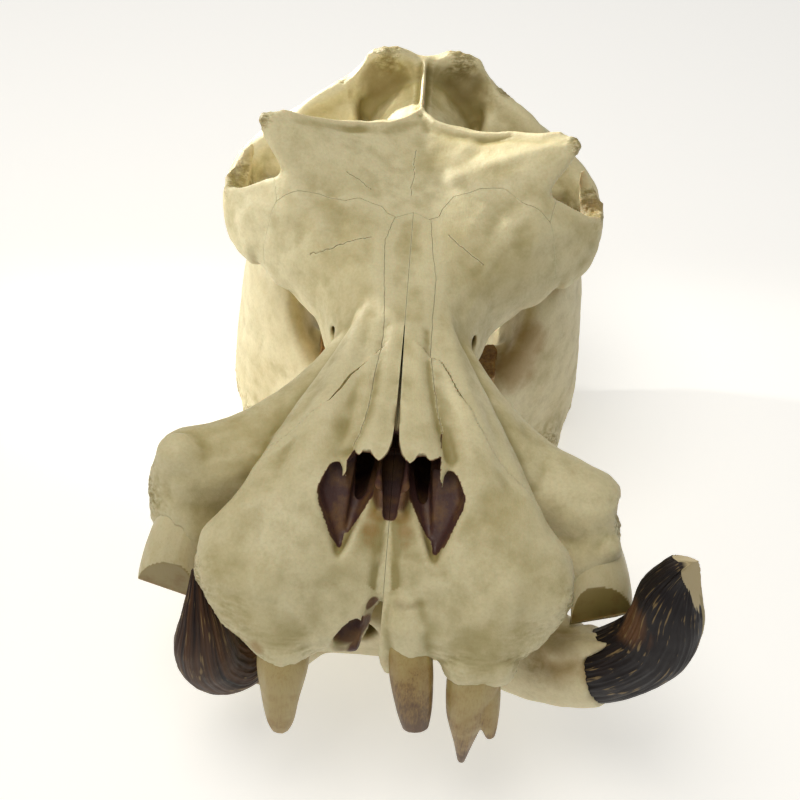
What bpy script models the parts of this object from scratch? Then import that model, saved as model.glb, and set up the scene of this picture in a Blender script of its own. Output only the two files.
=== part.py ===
"""Hippopotamus skull at life size, resting on its lower jaw as a museum shows it.

The nose points along -Y and +Z is up, so the animal's own left side is at +X.
Sizes are in millimetres. A place is written as (across, back, up): across from the
midline, back from the front of the premaxillae, and up from the plane of the palate.
The part's origin is on the flat under the chin, where the lower jaw meets the floor.
"""
import bpy
import bmesh
import math
from mathutils import Matrix, Vector

# driving sizes
MM = 0.001
CHIN_BACK = 210.0          # from the premaxillae back to the middle of the chin's flat
PALATE_UP = 205.0          # the palate above the floor
BITE = -30.0               # level at which the worn cheek teeth meet
SEAM = 0.3                 # gap left between neighbouring bones and teeth
TOOTH_LENGTHS = (30, 34, 34, 44, 50, 54)
TOOTH_WIDTHS = (17, 19, 22, 26, 29, 28)
TOOTH_GAP = 1.5
JAW_ASIDE = 7.0            # the lower jaw lies this far to the animal's left
LEFT_DROOP = 9.0           # the left canine process hangs lower than the right one
FLARE = 0.13               # how far the jaw's angles lean outwards for each unit down
CRANIUM_VOXEL = 4.2        # grain at which a bone's masses are fused
JAW_VOXEL = 4.2
CRANIUM_FACES = 6200
JAW_FACES = 3400

BONE = (0.66, 0.60, 0.43)
JAW_BONE = (0.68, 0.62, 0.46)
ENAMEL = (0.60, 0.53, 0.36)
TUSK = (0.045, 0.028, 0.024)


def place(across, back, up):
    return Vector((across, back - CHIN_BACK, up + PALATE_UP)) * MM


def start():
    for old in list(bpy.data.objects):
        bpy.data.objects.remove(old)
    for title in ("hippo_skull", "masses_and_cutters"):
        collection = bpy.data.collections.new(title)
        bpy.context.scene.collection.children.link(collection)


def material(title, colour, roughness):
    finish = bpy.data.materials.get(title)
    if finish is None:
        finish = bpy.data.materials.new(title)
        finish.use_nodes = True
        shader = finish.node_tree.nodes["Principled BSDF"]
        shader.inputs["Base Color"].default_value = (*colour, 1.0)
        shader.inputs["Roughness"].default_value = roughness
        shader.inputs["Metallic"].default_value = 0.0
    return finish


def new_object(name, mesh, collection="masses_and_cutters"):
    piece = bpy.data.objects.new(name, mesh)
    bpy.data.collections[collection].objects.link(piece)
    if collection == "masses_and_cutters":
        piece.display_type = "WIRE"
        piece.hide_render = True
    return piece


def mesh_from(bm, name):
    bmesh.ops.recalc_face_normals(bm, faces=bm.faces)
    mesh = bpy.data.meshes.new(name)
    bm.to_mesh(mesh)
    bm.free()
    return mesh


# masses: lofts, balls, rings and plates
def smooth_rows(rows, steps):
    """Rows of numbers read from a smooth curve through the given rows."""
    dense = []
    last = len(rows) - 1
    for index in range(last):
        a = rows[max(index - 1, 0)]
        b = rows[index]
        c = rows[index + 1]
        d = rows[min(index + 2, last)]
        for step in range(steps):
            t = step / steps
            row = []
            for p, q, r, s in zip(a, b, c, d):
                bend = (2 * p - 5 * q + 4 * r - s) * t + (3 * q - 3 * r + s - p) * t * t
                row.append(q + 0.5 * t * (r - p + bend))
            dense.append(row)
    dense.append(list(rows[last]))
    return dense


def skin_loops(bm, loops):
    """Triangles between neighbouring loops of corners, and a lid on each end."""
    count = len(loops[0])
    for first, second in zip(loops, loops[1:]):
        for corner in range(count):
            after = (corner + 1) % count
            bm.faces.new((first[corner], first[after], second[after]))
            bm.faces.new((first[corner], second[after], second[corner]))
    bm.faces.new(loops[0])
    bm.faces.new(loops[-1])


def loft(name, rows, across=(1, 0, 0), sides=20, steps=4, square=2.0, side=1):
    """A closed tube through rows of (across, back, up, half width, half depth).

    The half width lies along the direction named across, the half depth square to it
    and to the tube's path. A square above 2 turns the ellipse into a rounded box.
    """
    rings = smooth_rows(rows, steps)
    centres = [place(side * row[0], row[1], row[2]) for row in rings]
    wide = Vector((side * across[0], across[1], across[2]))
    bm = bmesh.new()
    loops = []
    for index, row in enumerate(rings):
        ahead = centres[min(index + 1, len(rings) - 1)]
        behind = centres[max(index - 1, 0)]
        along = (ahead - behind).normalized()
        u = (wide - along * wide.dot(along)).normalized()
        v = along.cross(u)
        loop = []
        for corner in range(sides):
            angle = 2 * math.pi * corner / sides
            c = math.cos(angle)
            s = math.sin(angle)
            x = math.copysign(abs(c) ** (2 / square), c) * row[3] * MM
            y = math.copysign(abs(s) ** (2 / square), s) * row[4] * MM
            loop.append(bm.verts.new(centres[index] + u * x + v * y))
        loops.append(loop)
    skin_loops(bm, loops)
    return new_object(name, mesh_from(bm, name))


def ball(name, centre, radii, turn=(0, 0, 0), side=1):
    bm = bmesh.new()
    size = Matrix.Diagonal((*[r * MM for r in radii], 1.0))
    lean = Matrix.Rotation(math.radians(side * turn[2]), 4, "Z")
    lean = lean @ Matrix.Rotation(math.radians(side * turn[1]), 4, "Y")
    lean = lean @ Matrix.Rotation(math.radians(turn[0]), 4, "X")
    where = Matrix.Translation(place(side * centre[0], centre[1], centre[2]))
    bmesh.ops.create_uvsphere(bm, u_segments=20, v_segments=12, radius=1.0,
                              matrix=where @ lean @ size)
    return new_object(name, mesh_from(bm, name))


def hull(name, balls, side=1):
    """The tight skin stretched over balls given as (across, back, up, radius)."""
    round_one = bmesh.new()
    bmesh.ops.create_icosphere(round_one, subdivisions=2, radius=1.0)
    unit = [vert.co.copy() for vert in round_one.verts]
    round_one.free()
    bm = bmesh.new()
    for across, back, up, radius in balls:
        centre = place(side * across, back, up)
        for spot in unit:
            bm.verts.new(centre + spot * radius * MM)
    bmesh.ops.convex_hull(bm, input=bm.verts[:], use_existing_faces=False)
    buried = [vert for vert in bm.verts if not vert.link_faces]
    bmesh.ops.delete(bm, geom=buried, context="VERTS")
    return new_object(name, mesh_from(bm, name))


def closed_curve(points, steps):
    """Points on a smooth closed curve through the given ones."""
    dense = []
    total = len(points)
    for index in range(total):
        a, b, c, d = (points[(index + shift) % total] for shift in (-1, 0, 1, 2))
        for step in range(steps):
            t = step / steps
            spot = []
            for p, q, r, s in zip(a, b, c, d):
                bend = (2 * p - 5 * q + 4 * r - s) * t + (3 * q - 3 * r + s - p) * t * t
                spot.append(q + 0.5 * t * (r - p + bend))
            dense.append(spot)
    return dense


def profile_loft(name, rows, steps=4):
    """A body seen as slices across the skull, from front to back.

    Each row is the slice's place back, the height of its top, then across and up of
    its shoulder, its widest point and its lower corner, then the height of its foot.
    """
    bm = bmesh.new()
    loops = []
    for back, top, x1, z1, x2, z2, x3, z3, foot in smooth_rows(rows, steps):
        half = [(x1, z1), (x2, z2), (x3, z3)]
        outline = [(0, top)] + half + [(0, foot)] + [(-x, z) for x, z in reversed(half)]
        loop = [bm.verts.new(place(x, back, z)) for x, z in closed_curve(outline, 4)]
        loops.append(loop)
    skin_loops(bm, loops)
    return new_object(name, mesh_from(bm, name))


def plate(name, outline, thick, plane, offset):
    """A flat outline given thickness: plane XZ stands across the skull, YZ along it."""
    bm = bmesh.new()
    corners = []
    for a, b in outline:
        spot = (a, offset, b) if plane == "XZ" else (offset, a, b)
        corners.append(bm.verts.new(place(*spot)))
    face = bm.faces.new(corners)
    step = Vector((0, thick, 0)) if plane == "XZ" else Vector((thick, 0, 0))
    bmesh.ops.translate(bm, verts=corners, vec=-0.5 * step * MM)
    grown = bmesh.ops.extrude_face_region(bm, geom=[face], use_keep_orig=True)
    moved = [item for item in grown["geom"] if isinstance(item, bmesh.types.BMVert)]
    bmesh.ops.translate(bm, verts=moved, vec=step * MM)
    return new_object(name, mesh_from(bm, name))


def block(name, low, high):
    bm = bmesh.new()
    a = place(*low)
    b = place(*high)
    size = Matrix.Diagonal((*(b - a), 1.0))
    bmesh.ops.create_cube(bm, size=1.0, matrix=Matrix.Translation((a + b) / 2) @ size)
    return new_object(name, mesh_from(bm, name))


def mirrored(outline):
    return outline + [(-a, b) for a, b in reversed(outline) if abs(a) > 0.001]


# joining, carving and parting
def settle(piece):
    """Put what the modifiers make into the mesh and remove the modifiers."""
    graph = bpy.context.evaluated_depsgraph_get()
    mesh = bpy.data.meshes.new_from_object(piece.evaluated_get(graph), depsgraph=graph)
    piece.modifiers.clear()
    piece.data = mesh
    return piece


def join(name, pieces):
    bm = bmesh.new()
    for piece in pieces:
        bm.from_mesh(piece.data)
        bpy.data.objects.remove(piece)
    mesh = bpy.data.meshes.new(name)
    bm.to_mesh(mesh)
    bm.free()
    return new_object(name, mesh)


def fuse(name, pieces, grain, rounds):
    """One closed surface round all the pieces, with its creases softened."""
    body = join(name, pieces)
    skin = body.modifiers.new("fuse", "REMESH")
    skin.mode = "VOXEL"
    skin.voxel_size = grain * MM
    soften = body.modifiers.new("soften", "SMOOTH")
    soften.factor = 0.5
    soften.iterations = rounds
    return settle(body)


def carve(body, cutters):
    for cutter in cutters:
        cut = body.modifiers.new("carve", "BOOLEAN")
        cut.operation = "DIFFERENCE"
        cut.solver = "MANIFOLD"
        cut.object = cutter
    settle(body)
    for cutter in cutters:
        bpy.data.objects.remove(cutter)
    return body


def thin_out(body, faces):
    three = body.modifiers.new("triangles", "TRIANGULATE")
    three.keep_custom_normals = False
    settle(body)
    fewer = body.modifiers.new("fewer", "DECIMATE")
    fewer.ratio = min(1.0, faces / len(body.data.polygons))
    return settle(body)


# the cranium's masses
def snout_and_braincase():
    """The long body of the cranium: snout, waist, brow and the narrow braincase."""
    trunk = profile_loft("trunk", (
        (66, 66, 26, 66, 58, 40, 46, 8, 4),
        (96, 84, 40, 86, 62, 54, 50, 2, 0),
        (112, 92, 44, 96, 64, 58, 51, 1, 0),
        (120, 130, 40, 124, 62, 64, 52, 0, -1),
        (160, 137, 36, 131, 62, 68, 53, -1, -2),
        (210, 142, 33, 135, 60, 76, 53, -2, -3),
        (255, 146, 31, 139, 58, 84, 53, -2, -3),
        (290, 149, 34, 142, 62, 90, 54, -2, -3),
        (330, 153, 46, 148, 78, 98, 58, -2, -3),
        (370, 158, 64, 157, 98, 112, 64, -1, -2),
        (410, 164, 84, 169, 114, 122, 70, 0, 0),
        (450, 171, 92, 184, 118, 132, 64, 6, 4),
        (480, 179, 78, 190, 104, 136, 54, 10, 8),
        (505, 184, 54, 186, 82, 130, 48, 14, 12),
        (530, 186, 28, 178, 66, 116, 44, 18, 16),
        (570, 172, 28, 158, 60, 106, 44, 22, 20),
        (610, 164, 34, 144, 62, 98, 46, 28, 26),
        (662, 166, 40, 140, 66, 90, 46, 34, 34),
    ))
    base = loft("skull_base", (
        (0, 400, 14, 58, 26),
        (0, 470, 26, 44, 26),
        (0, 560, 34, 42, 24),
        (0, 640, 44, 40, 26),
    ), sides=20, square=2.6)
    return [trunk, base]


def premaxilla_masses(side):
    """The bulbous front bone that carries the incisors and runs up beside the nose."""
    inner = hull("premaxilla_inner", [
        (14, 72, 64, 10), (14, 54, 42, 11), (16, 46, 22, 12), (52, 38, 16, 22),
        (50, 70, 62, 20), (46, 100, 76, 18),
    ], side)
    outer = hull("premaxilla_outer", [
        (54, 38, 16, 22), (86, 36, 12, 26), (112, 48, 20, 24), (134, 62, 46, 21),
        (132, 80, 62, 21), (100, 100, 76, 28), (60, 106, 88, 22), (60, 72, 64, 24),
        (92, 60, 50, 33),
    ], side)
    flank = hull("premaxilla_flank", [
        (60, 110, 94, 24), (104, 106, 78, 24), (80, 160, 92, 24), (46, 190, 112, 18),
        (44, 240, 118, 16), (34, 280, 130, 10),
    ], side)
    rise = loft("premaxilla_rise", (
        (32, 312, 136, 6, 8),
        (38, 262, 130, 10, 12),
        (48, 206, 120, 17, 18),
        (60, 156, 108, 24, 24),
        (66, 118, 96, 27, 25),
    ), sides=20, side=side)
    socket = ball("incisor_socket", (78, 28, 6), (28, 22, 21), side=side)
    first = ball("first_incisor_socket", (27, 38, 9), (21, 17, 23), side=side)
    return [inner, outer, flank, rise, socket, first]


def canine_process(side):
    """The great sideways horn of the maxilla that holds the upper canine."""
    droop = LEFT_DROOP if side > 0 else 0
    horn = loft("canine_process", (
        (34, 306, 62, 56, 26),
        (50, 260, 58, 50, 32),
        (80, 218, 54 - 0.4 * droop, 42, 38),
        (116, 186, 52 - 0.8 * droop, 37, 38),
        (150, 168, 51 - droop, 37, 36),
        (176 - 0.3 * droop, 157, 50 - 1.2 * droop, 39 - 0.4 * droop, 36),
        (190 - 0.5 * droop, 152, 48 - 1.4 * droop, 34 - 0.5 * droop, 30),
    ), across=(0, 0, 1), sides=22, steps=5, square=2.6, side=side)
    web = hull("process_web", [
        (44, 280, 98, 20), (60, 220, 76, 24), (110, 176, 56, 30), (60, 150, 60, 30),
        (60, 240, 24, 22), (70, 150, 24, 22),
    ], side)
    rim = hull("canine_rim", [
        (176, 142, 44 - 0.5 * droop, 24), (173, 128, 17, 25), (166, 122, 2, 21),
        (160, 146, 26, 24), (178, 150, 20, 20),
    ], side)
    return [horn, web, rim]


def orbit_masses(side):
    """The raised eye socket: roof, front wall and the jugal's cup with its rear horn."""
    roof = hull("brow_roof", [
        (20, 452, 152, 20), (56, 420, 150, 18), (50, 492, 172, 13), (112, 424, 172, 9),
        (96, 482, 184, 12), (148, 456, 214, 7), (146, 464, 216, 8), (118, 436, 186, 10),
    ], side)
    wall = hull("front_wall", [
        (50, 345, 126, 18), (62, 352, 84, 24), (60, 400, 140, 22), (114, 418, 168, 12),
        (118, 404, 120, 26), (90, 400, 70, 26),
    ], side)
    cheek = hull("front_cheek", [
        (90, 374, 104, 22), (112, 402, 150, 18), (116, 420, 174, 9), (150, 422, 146, 11),
        (158, 424, 124, 16), (118, 398, 90, 22),
    ], side)
    cup = hull("eye_cup_front", [
        (117, 422, 174, 8), (150, 426, 152, 7), (164, 432, 150, 7), (180, 446, 144, 8),
        (174, 440, 114, 14), (150, 424, 116, 16), (136, 440, 108, 16),
    ], side)
    floor = hull("eye_cup_floor", [
        (148, 424, 108, 14), (176, 444, 112, 12), (180, 474, 108, 12), (140, 470, 110, 14),
        (112, 450, 110, 18),
    ], side)
    horn = hull("eye_cup_back", [
        (180, 452, 116, 10), (182, 474, 112, 10), (180, 462, 150, 8), (164, 484, 168, 7),
        (176, 468, 152, 8),
    ], side)
    return [roof, wall, cheek, cup, floor, horn]


def cheek_arch(side):
    """The jugal and squamosal arch that bridges from under the eye to the ear."""
    arch = loft("cheek_arch", (
        (146, 410, 106, 30, 16),
        (170, 438, 106, 27, 14),
        (181, 470, 98, 25, 12),
        (190, 510, 80, 24, 11),
        (194, 550, 68, 25, 12),
        (182, 592, 74, 25, 16),
        (150, 616, 84, 33, 22),
        (108, 630, 100, 38, 27),
        (66, 634, 108, 36, 30),
    ), across=(0, 0, 1), sides=18, square=2.4, side=side)
    joint = loft("jaw_socket", (
        (172, 598, 76, 18, 15),
        (142, 600, 74, 24, 18),
        (96, 606, 68, 26, 22),
        (50, 612, 60, 28, 26),
    ), across=(0, 1, 0), sides=16, side=side)
    ridge = loft("ear_ridge", (
        (68, 646, 150, 12, 14),
        (98, 632, 142, 11, 14),
        (122, 618, 128, 11, 15),
        (144, 604, 98, 10, 16),
        (168, 590, 78, 10, 14),
    ), across=(0, 1, 0), sides=14, side=side)
    return [arch, joint, ridge]


def crest_masses():
    """The nuchal fan at the back, the thin crest that meets it and the brow lines."""
    fan = plate("nuchal_fan", mirrored([
        (0, 184), (12, 190), (30, 198), (48, 194), (64, 180), (76, 164), (102, 144),
        (120, 122), (130, 90), (120, 52), (90, 30), (50, 18), (0, 16),
    ]), 20, "XZ", 652)
    crest = plate("sagittal_crest", [
        (522, 150), (530, 188), (560, 190), (600, 189), (654, 190), (654, 110), (522, 110),
    ], 10, "YZ", 0)
    masses = [fan, crest]
    for side in (-1, 1):
        masses.append(loft("temporal_line", (
            (0, 532, 180, 8, 11),
            (34, 520, 181, 8, 11),
            (78, 502, 186, 8, 12),
            (116, 486, 198, 9, 12),
            (146, 466, 214, 9, 10),
        ), across=(0, 1, 0), sides=14, side=side))
        masses.append(ball("occipital_condyle", (33, 672, 50), (22, 24, 26), side=side))
        masses.append(ball("lobe_edge", (36, 652, 182), (30, 13, 15), side=side))
        masses.append(plate("ear_process", [
            (628, 80), (660, 70), (656, 0), (640, -6), (626, 20),
        ], 18, "YZ", side * 96))
        masses.append(plate("pterygoid_wing", [
            (440, 20), (500, 34), (506, 2), (478, -22), (446, -14),
        ], 11, "YZ", side * 38))
    return masses


def cheek_teeth(upper, side):
    """Three premolars and three molars with paired cusps, growing larger to the back."""
    teeth = []
    back = 196 if upper else 190
    neck = -12 if upper else BITE - 20
    tips = BITE + 6 if upper else BITE - 8
    for number, (length, width) in enumerate(zip(TOOTH_LENGTHS, TOOTH_WIDTHS)):
        middle = back + length / 2
        column = 54 + 0.02 * (middle - 200)
        teeth.append(ball("tooth", (column, middle, neck),
                          (width * 0.62, length * 0.50, 22), side=side))
        molar = number > 2
        for cusp in (-1, 1):
            for row in (-1, 1) if molar else (0,):
                reach = 0.24 if molar else 0.40
                teeth.append(ball("cusp", (
                    column + cusp * width * 0.27, middle + row * length * 0.23, tips,
                ), (width * 0.34, length * reach, 17), side=side))
        back += length + TOOTH_GAP
    return teeth


def cranium_cutters():
    cutters = []
    for side in (-1, 1):
        cutters.append(hull("nose_opening", [
            (38, 52, 80, 3), (37, 84, 70, 3), (54, 60, 118, 4), (54, 112, 104, 4),
            (17, 60, 122, 4), (17, 110, 104, 4), (28, 136, 121, 4), (44, 140, 112, 4),
            (36, 140, 76, 5), (22, 134, 100, 6),
        ], side))
        cutters.append(loft("nasal_passage", (
            (36, 120, 97, 17, 24),
            (32, 160, 94, 17, 27),
            (28, 200, 90, 16, 27),
            (24, 260, 88, 13, 26),
            (20, 330, 88, 8, 14),
        ), sides=16, side=side))
        cutters.append(loft("nasal_groove", (
            (43, 108, 140, 3, 5),
            (40, 160, 140, 5, 6),
            (36, 210, 145, 5, 5),
            (31, 262, 150, 4, 4),
            (28, 312, 154, 3, 3),
        ), sides=10, side=side))
        cutters.append(loft("eye_hollow", (
            (226, 452, 206, 30, 44),
            (186, 456, 186, 28, 38),
            (156, 458, 168, 27, 34),
            (130, 462, 158, 25, 27),
            (108, 468, 152, 16, 16),
        ), across=(0, 1, 0), sides=20, side=side))
        cutters.append(loft("infraorbital_hole", (
            (82, 262, 86, 5, 9),
            (68, 292, 90, 4, 9),
            (58, 330, 96, 4, 7),
        ), sides=12, side=side))
    cutters.append(hull("nose_trough", [
        (sign * x, back, up, radius) for sign in (-1, 1) for x, back, up, radius in (
            (3, 88, 94, 3), (5, 76, 116, 3), (6, 124, 96, 4), (6, 120, 122, 4),
            (4, 180, 96, 4), (4, 180, 108, 4))
    ]))
    cutters.append(loft("empty_socket", (
        (-27, 0, -12, 17, 18),
        (-26, 22, 5, 16, 17),
        (-25, 40, 22, 13, 12),
        (-24, 54, 36, 7, 7),
    ), sides=14))
    cutters.append(loft("spinal_hole", (
        (0, 700, 66, 18, 17),
        (0, 660, 70, 18, 17),
        (0, 610, 80, 14, 14),
    ), sides=16))
    cutters.append(loft("inner_nostril", (
        (0, 520, -6, 20, 20),
        (0, 470, 12, 19, 15),
        (0, 420, 26, 12, 8),
    ), sides=14))
    cutters.append(loft("front_notch", (
        (0, -10, 10, 5, 60),
        (0, 34, 24, 3.5, 52),
        (0, 70, 50, 2.5, 40),
        (0, 100, 70, 1.5, 14),
    ), sides=12))
    return cutters


def cranium():
    masses = snout_and_braincase() + crest_masses()
    for side in (-1, 1):
        masses += premaxilla_masses(side) + canine_process(side)
        masses += orbit_masses(side) + cheek_arch(side) + cheek_teeth(True, side)
    body = fuse("cranium", masses, CRANIUM_VOXEL, 8)
    return carve(body, cranium_cutters())


# the lower jaw's masses
TUSK_SOCKETS = {
    -1: ((122, 76, -92, 33, 32), (108, 100, -106, 42, 40), (86, 140, -118, 46, 44),
         (60, 190, -132, 50, 48)),
    1: ((166, 74, -70, 38, 36), (150, 86, -80, 42, 39), (124, 106, -94, 45, 42),
        (96, 140, -112, 48, 46), (64, 190, -130, 52, 50)),
}


def jaw_half(side):
    body = loft("jaw_body", (
        (48, 170, -128, 40, 66),
        (58, 220, -124, 34, 64),
        (66, 280, -112, 28, 60),
        (74, 350, -108, 27, 58),
        (86, 410, -104, 26, 58),
        (102, 462, -96, 24, 62),
    ), sides=20, square=2.6, side=side)
    socket = loft("tusk_socket", TUSK_SOCKETS[side], across=(0, 0, 1), sides=20,
                  square=2.3, side=side)
    wing = loft("jaw_angle", (
        (86, 392, -110, 54, 22),
        (118, 424, -106, 70, 18),
        (148, 456, -98, 98, 15),
        (172, 490, -90, 120, 14),
        (186, 530, -90, 124, 14),
        (190, 572, -96, 110, 12),
        (184, 606, -100, 66, 9),
    ), across=(-FLARE, 0, 1), sides=20, square=2.6, side=side)
    hook = hull("angle_hook", [
        (160, 440, -186, 12), (177, 452, -194, 12), (186, 500, -196, 13), (165, 470, -150, 12),
        (192, 560, -190, 12),
    ], side)
    branch = loft("jaw_branch", (
        (104, 470, -90, 62, 20),
        (124, 500, -30, 62, 15),
        (132, 516, 20, 52, 12),
        (135, 508, 62, 26, 9),
        (136, 512, 92, 13, 7),
        (136, 522, 106, 8, 5),
    ), across=(0, 1, 0), sides=18, square=2.4, side=side)
    neck = loft("condyle_neck", (
        (136, 530, -30, 40, 13),
        (140, 568, 8, 24, 12),
        (140, 593, 28, 14, 12),
    ), across=(0, 1, 0), sides=16, side=side)
    condyle = ball("condyle", (138, 596, 35), (31, 14, 13), side=side)
    masses = [body, socket, wing, hook, branch, neck, condyle]
    if side > 0:
        masses.append(hull("socket_finger", [
            (146, 66, -38, 12), (176, 60, -20, 7), (197, 60, -8, 5),
        ]))
        masses.append(hull("socket_lip", [
            (156, 70, -98, 12), (176, 62, -100, 8), (194, 60, -92, 5),
        ]))
    return masses


def jaw():
    chin = hull("chin", [
        (60, 108, -70, 16), (-60, 108, -70, 16), (54, 142, -128, 34), (-54, 142, -128, 34),
        (48, 184, -178, 30), (-48, 184, -178, 30), (48, 232, -180, 29), (-48, 232, -180, 29),
        (58, 292, -148, 26), (-58, 292, -148, 26), (50, 240, -90, 20), (-50, 240, -90, 20),
    ])
    masses = [chin]
    for side in (-1, 1):
        masses += jaw_half(side) + cheek_teeth(False, side)
    body = fuse("mandible", masses, JAW_VOXEL, 8)
    sockets = []
    for side in (-1, 1):
        for across, radius in ((22, 13), (56, 10)):
            sockets.append(loft("incisor_socket", (
                (across * 1.02, 78, -66, radius, radius),
                (across, 104, -84, radius, radius),
                (across * 0.9, 150, -104, radius * 0.6, radius * 0.6),
            ), sides=14, side=side))
    return carve(body, sockets)


# tusks and front teeth
LOWER_TUSKS = {
    # the right tusk stands as it grew, the left one has turned outwards in its socket
    -1: ((80, 150, -118, 24, 27), (106, 102, -114, 26, 28), (130, 66, -98, 26, 29),
         (143, 50, -66, 26, 27), (146, 44, -34, 22, 24), (146, 48, -8, 17, 19),
         (144, 54, 8, 11, 13)),
    1: ((92, 146, -110, 24, 27), (124, 106, -96, 27, 29), (158, 78, -78, 29, 30),
        (196, 66, -54, 30, 30), (226, 62, -14, 30, 29), (233, 64, 24, 29, 27),
        (231, 68, 58, 24, 23), (231, 70, 84, 17, 18), (231, 71, 100, 10, 12)),
}
UPPER_CANINE = ((158, 164, 54, 16, 17), (168, 146, 38, 18, 19), (180, 126, 18, 20, 21),
                (188, 108, -6, 21, 20), (193, 96, -32, 20, 17), (194, 90, -48, 17, 14))
UPPER_INCISORS = {
    "incisor_right_2": [((-76, 34, 14, 20, 19), (-77, 20, -14, 21, 19),
                         (-78, 10, -46, 15, 14), (-78, 3, -76, 9, 9), (-78, 0, -90, 4, 4))],
    "incisor_left_1": [((20, 52, 46, 16, 17), (23, 36, 18, 18, 17), (28, 20, -14, 18, 16),
                        (33, 8, -48, 15, 13), (36, 2, -68, 11, 9))],
    "incisor_left_2": [((78, 34, 14, 20, 19), (79, 20, -14, 22, 19),
                        (77, 10, -50, 17, 15), (78, 3, -90, 8, 9), (79, 0, -116, 3, 4)),
                       ((82, 28, 0, 16, 15), (90, 14, -30, 13, 13), (96, 5, -56, 8, 9),
                        (99, 1, -72, 4, 5))],
}


def grown(rows, extra):
    return tuple((*row[:3], row[3] + extra, row[4] + extra) for row in rows)


def tooth_root(rows):
    """The stretch of a tooth that its bone holds, a seam's width larger all round."""
    first = Vector(rows[0][:3])
    step = (first - Vector(rows[1][:3])).normalized() * SEAM * 1.5
    deeper = (*(first + step), rows[0][3], rows[0][4])
    return grown((deeper, *rows[1:]), SEAM * 1.3)


def lower_tusk(side):
    """A stout curved tusk, worn slanting at its tip by the canine above it."""
    name = "tusk_left" if side > 0 else "tusk_right"
    tusk = loft(name, LOWER_TUSKS[side], across=(0, 1, 0), sides=14, steps=2,
                square=2.3, side=side)
    if side > 0:
        wear = hull("wear", [(252, 40, 128, 4), (252, 100, 128, 4), (256, 40, 70, 4),
                             (256, 100, 70, 4), (290, 40, 100, 4), (290, 100, 100, 4)])
    else:
        wear = hull("wear", [(120, 78, -34, 4), (176, 78, -34, 4), (120, 62, 30, 4),
                             (176, 62, 30, 4), (120, 120, 0, 4), (176, 120, 0, 4)], side)
    return carve(tusk, [wear])


def upper_canine(side):
    """A short stout canine whose front is worn flat by the tusk below it."""
    name = "canine_left" if side > 0 else "canine_right"
    tooth = loft(name, UPPER_CANINE, across=(1, 0, 0), sides=14, steps=2, square=2.3,
                 side=side)
    foot = -50 if side < 0 else -30
    wear = [
        hull("front_wear", [(150, 91, 30, 4), (226, 91, 30, 4), (150, 92, -76, 4),
                            (226, 92, -76, 4), (150, 40, -20, 4), (226, 40, -20, 4)], side),
        block("tip_wear", (-240, 60, foot - 40), (240, 160, foot)),
    ]
    return carve(tooth, wear)


def upper_incisor(name):
    rows = UPPER_INCISORS[name]
    shafts = [loft(name, prong, sides=14, steps=2, square=2.2) for prong in rows]
    if len(shafts) == 1:
        return shafts[0]
    return thin_out(fuse(name, shafts, 2.5, 2), 440)


# parting the fused masses into bones
def slit(name, path, sweep, thick=SEAM):
    """A thin wall: a line of places swept along a direction."""
    bm = bmesh.new()
    line = [bm.verts.new(place(*spot)) for spot in path]
    edges = [bm.edges.new(pair) for pair in zip(line, line[1:])]
    grown_wall = bmesh.ops.extrude_edge_only(bm, edges=edges)
    moved = [item for item in grown_wall["geom"] if isinstance(item, bmesh.types.BMVert)]
    bmesh.ops.translate(bm, verts=moved, vec=Vector(sweep) * MM)
    wall = new_object(name, mesh_from(bm, name))
    body = wall.modifiers.new("thickness", "SOLIDIFY")
    body.thickness = thick * MM
    body.offset = 0.0
    return settle(wall)


def shell(name, solid, thick=SEAM):
    """The thin skin of a closed solid, used to cut a bone out of its neighbours."""
    skin = solid.modifiers.new("thickness", "SOLIDIFY")
    skin.thickness = thick * MM
    skin.offset = 0.0
    solid.name = name
    return settle(solid)


def prism(name, outline, low, high, slope=0.0):
    """An outline in plan, as (across, back), standing on a foot that falls backwards."""
    bm = bmesh.new()
    start_back = outline[0][1]
    corners = []
    for across, back in outline:
        corners.append(bm.verts.new(place(across, back, low - slope * (back - start_back))))
    face = bm.faces.new(corners)
    grown_up = bmesh.ops.extrude_face_region(bm, geom=[face], use_keep_orig=True)
    moved = [item for item in grown_up["geom"] if isinstance(item, bmesh.types.BMVert)]
    bmesh.ops.translate(bm, verts=moved, vec=Vector((0, 0, high - low)) * MM)
    return new_object(name, mesh_from(bm, name))


FACE_LEDGE = 100           # level below which the face's seam runs on further back
FACE_FOOT = ((404, FACE_LEDGE + 0.1), (430, 60), (452, 20), (452, -90))
BROW_SUTURE = ((15.6, 395), (24, 398), (30, 408), (38, 425), (52, 438), (83, 436),
               (104, 425), (129.6, 404))
CROWN_SUTURE = ((538, 250), (534, 176), (508, 150), (494, 100), (474, 60), (451, 20))
NASAL_FOOT = 131.0         # underside of the nasals at their tips
NASAL_FALL = 0.09          # and how fast it falls towards the brow


def nose_tips():
    """The broken front edge of the nasals and the gap that widens between them."""
    cutters = [prism("nasal_gap", [
        (-12, 106), (12, 106), (7, 121), (3.2, 130), (2.2, 150), (1.2, 200), (0.4, 262),
        (-0.4, 262), (-1.2, 200), (-2.2, 150), (-3.2, 130), (-7, 121)], 122, 260)]
    for side in (-1, 1):
        cutters.append(prism("ragged_tip", [
            (side * x, y) for x, y in (
                (0, 96), (41.8, 96), (40.6, 118), (37, 110), (31, 121), (24, 127),
                (19, 122), (12.5, 117.5), (6, 123), (0, 125))], 122, 260))
    return cutters


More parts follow.
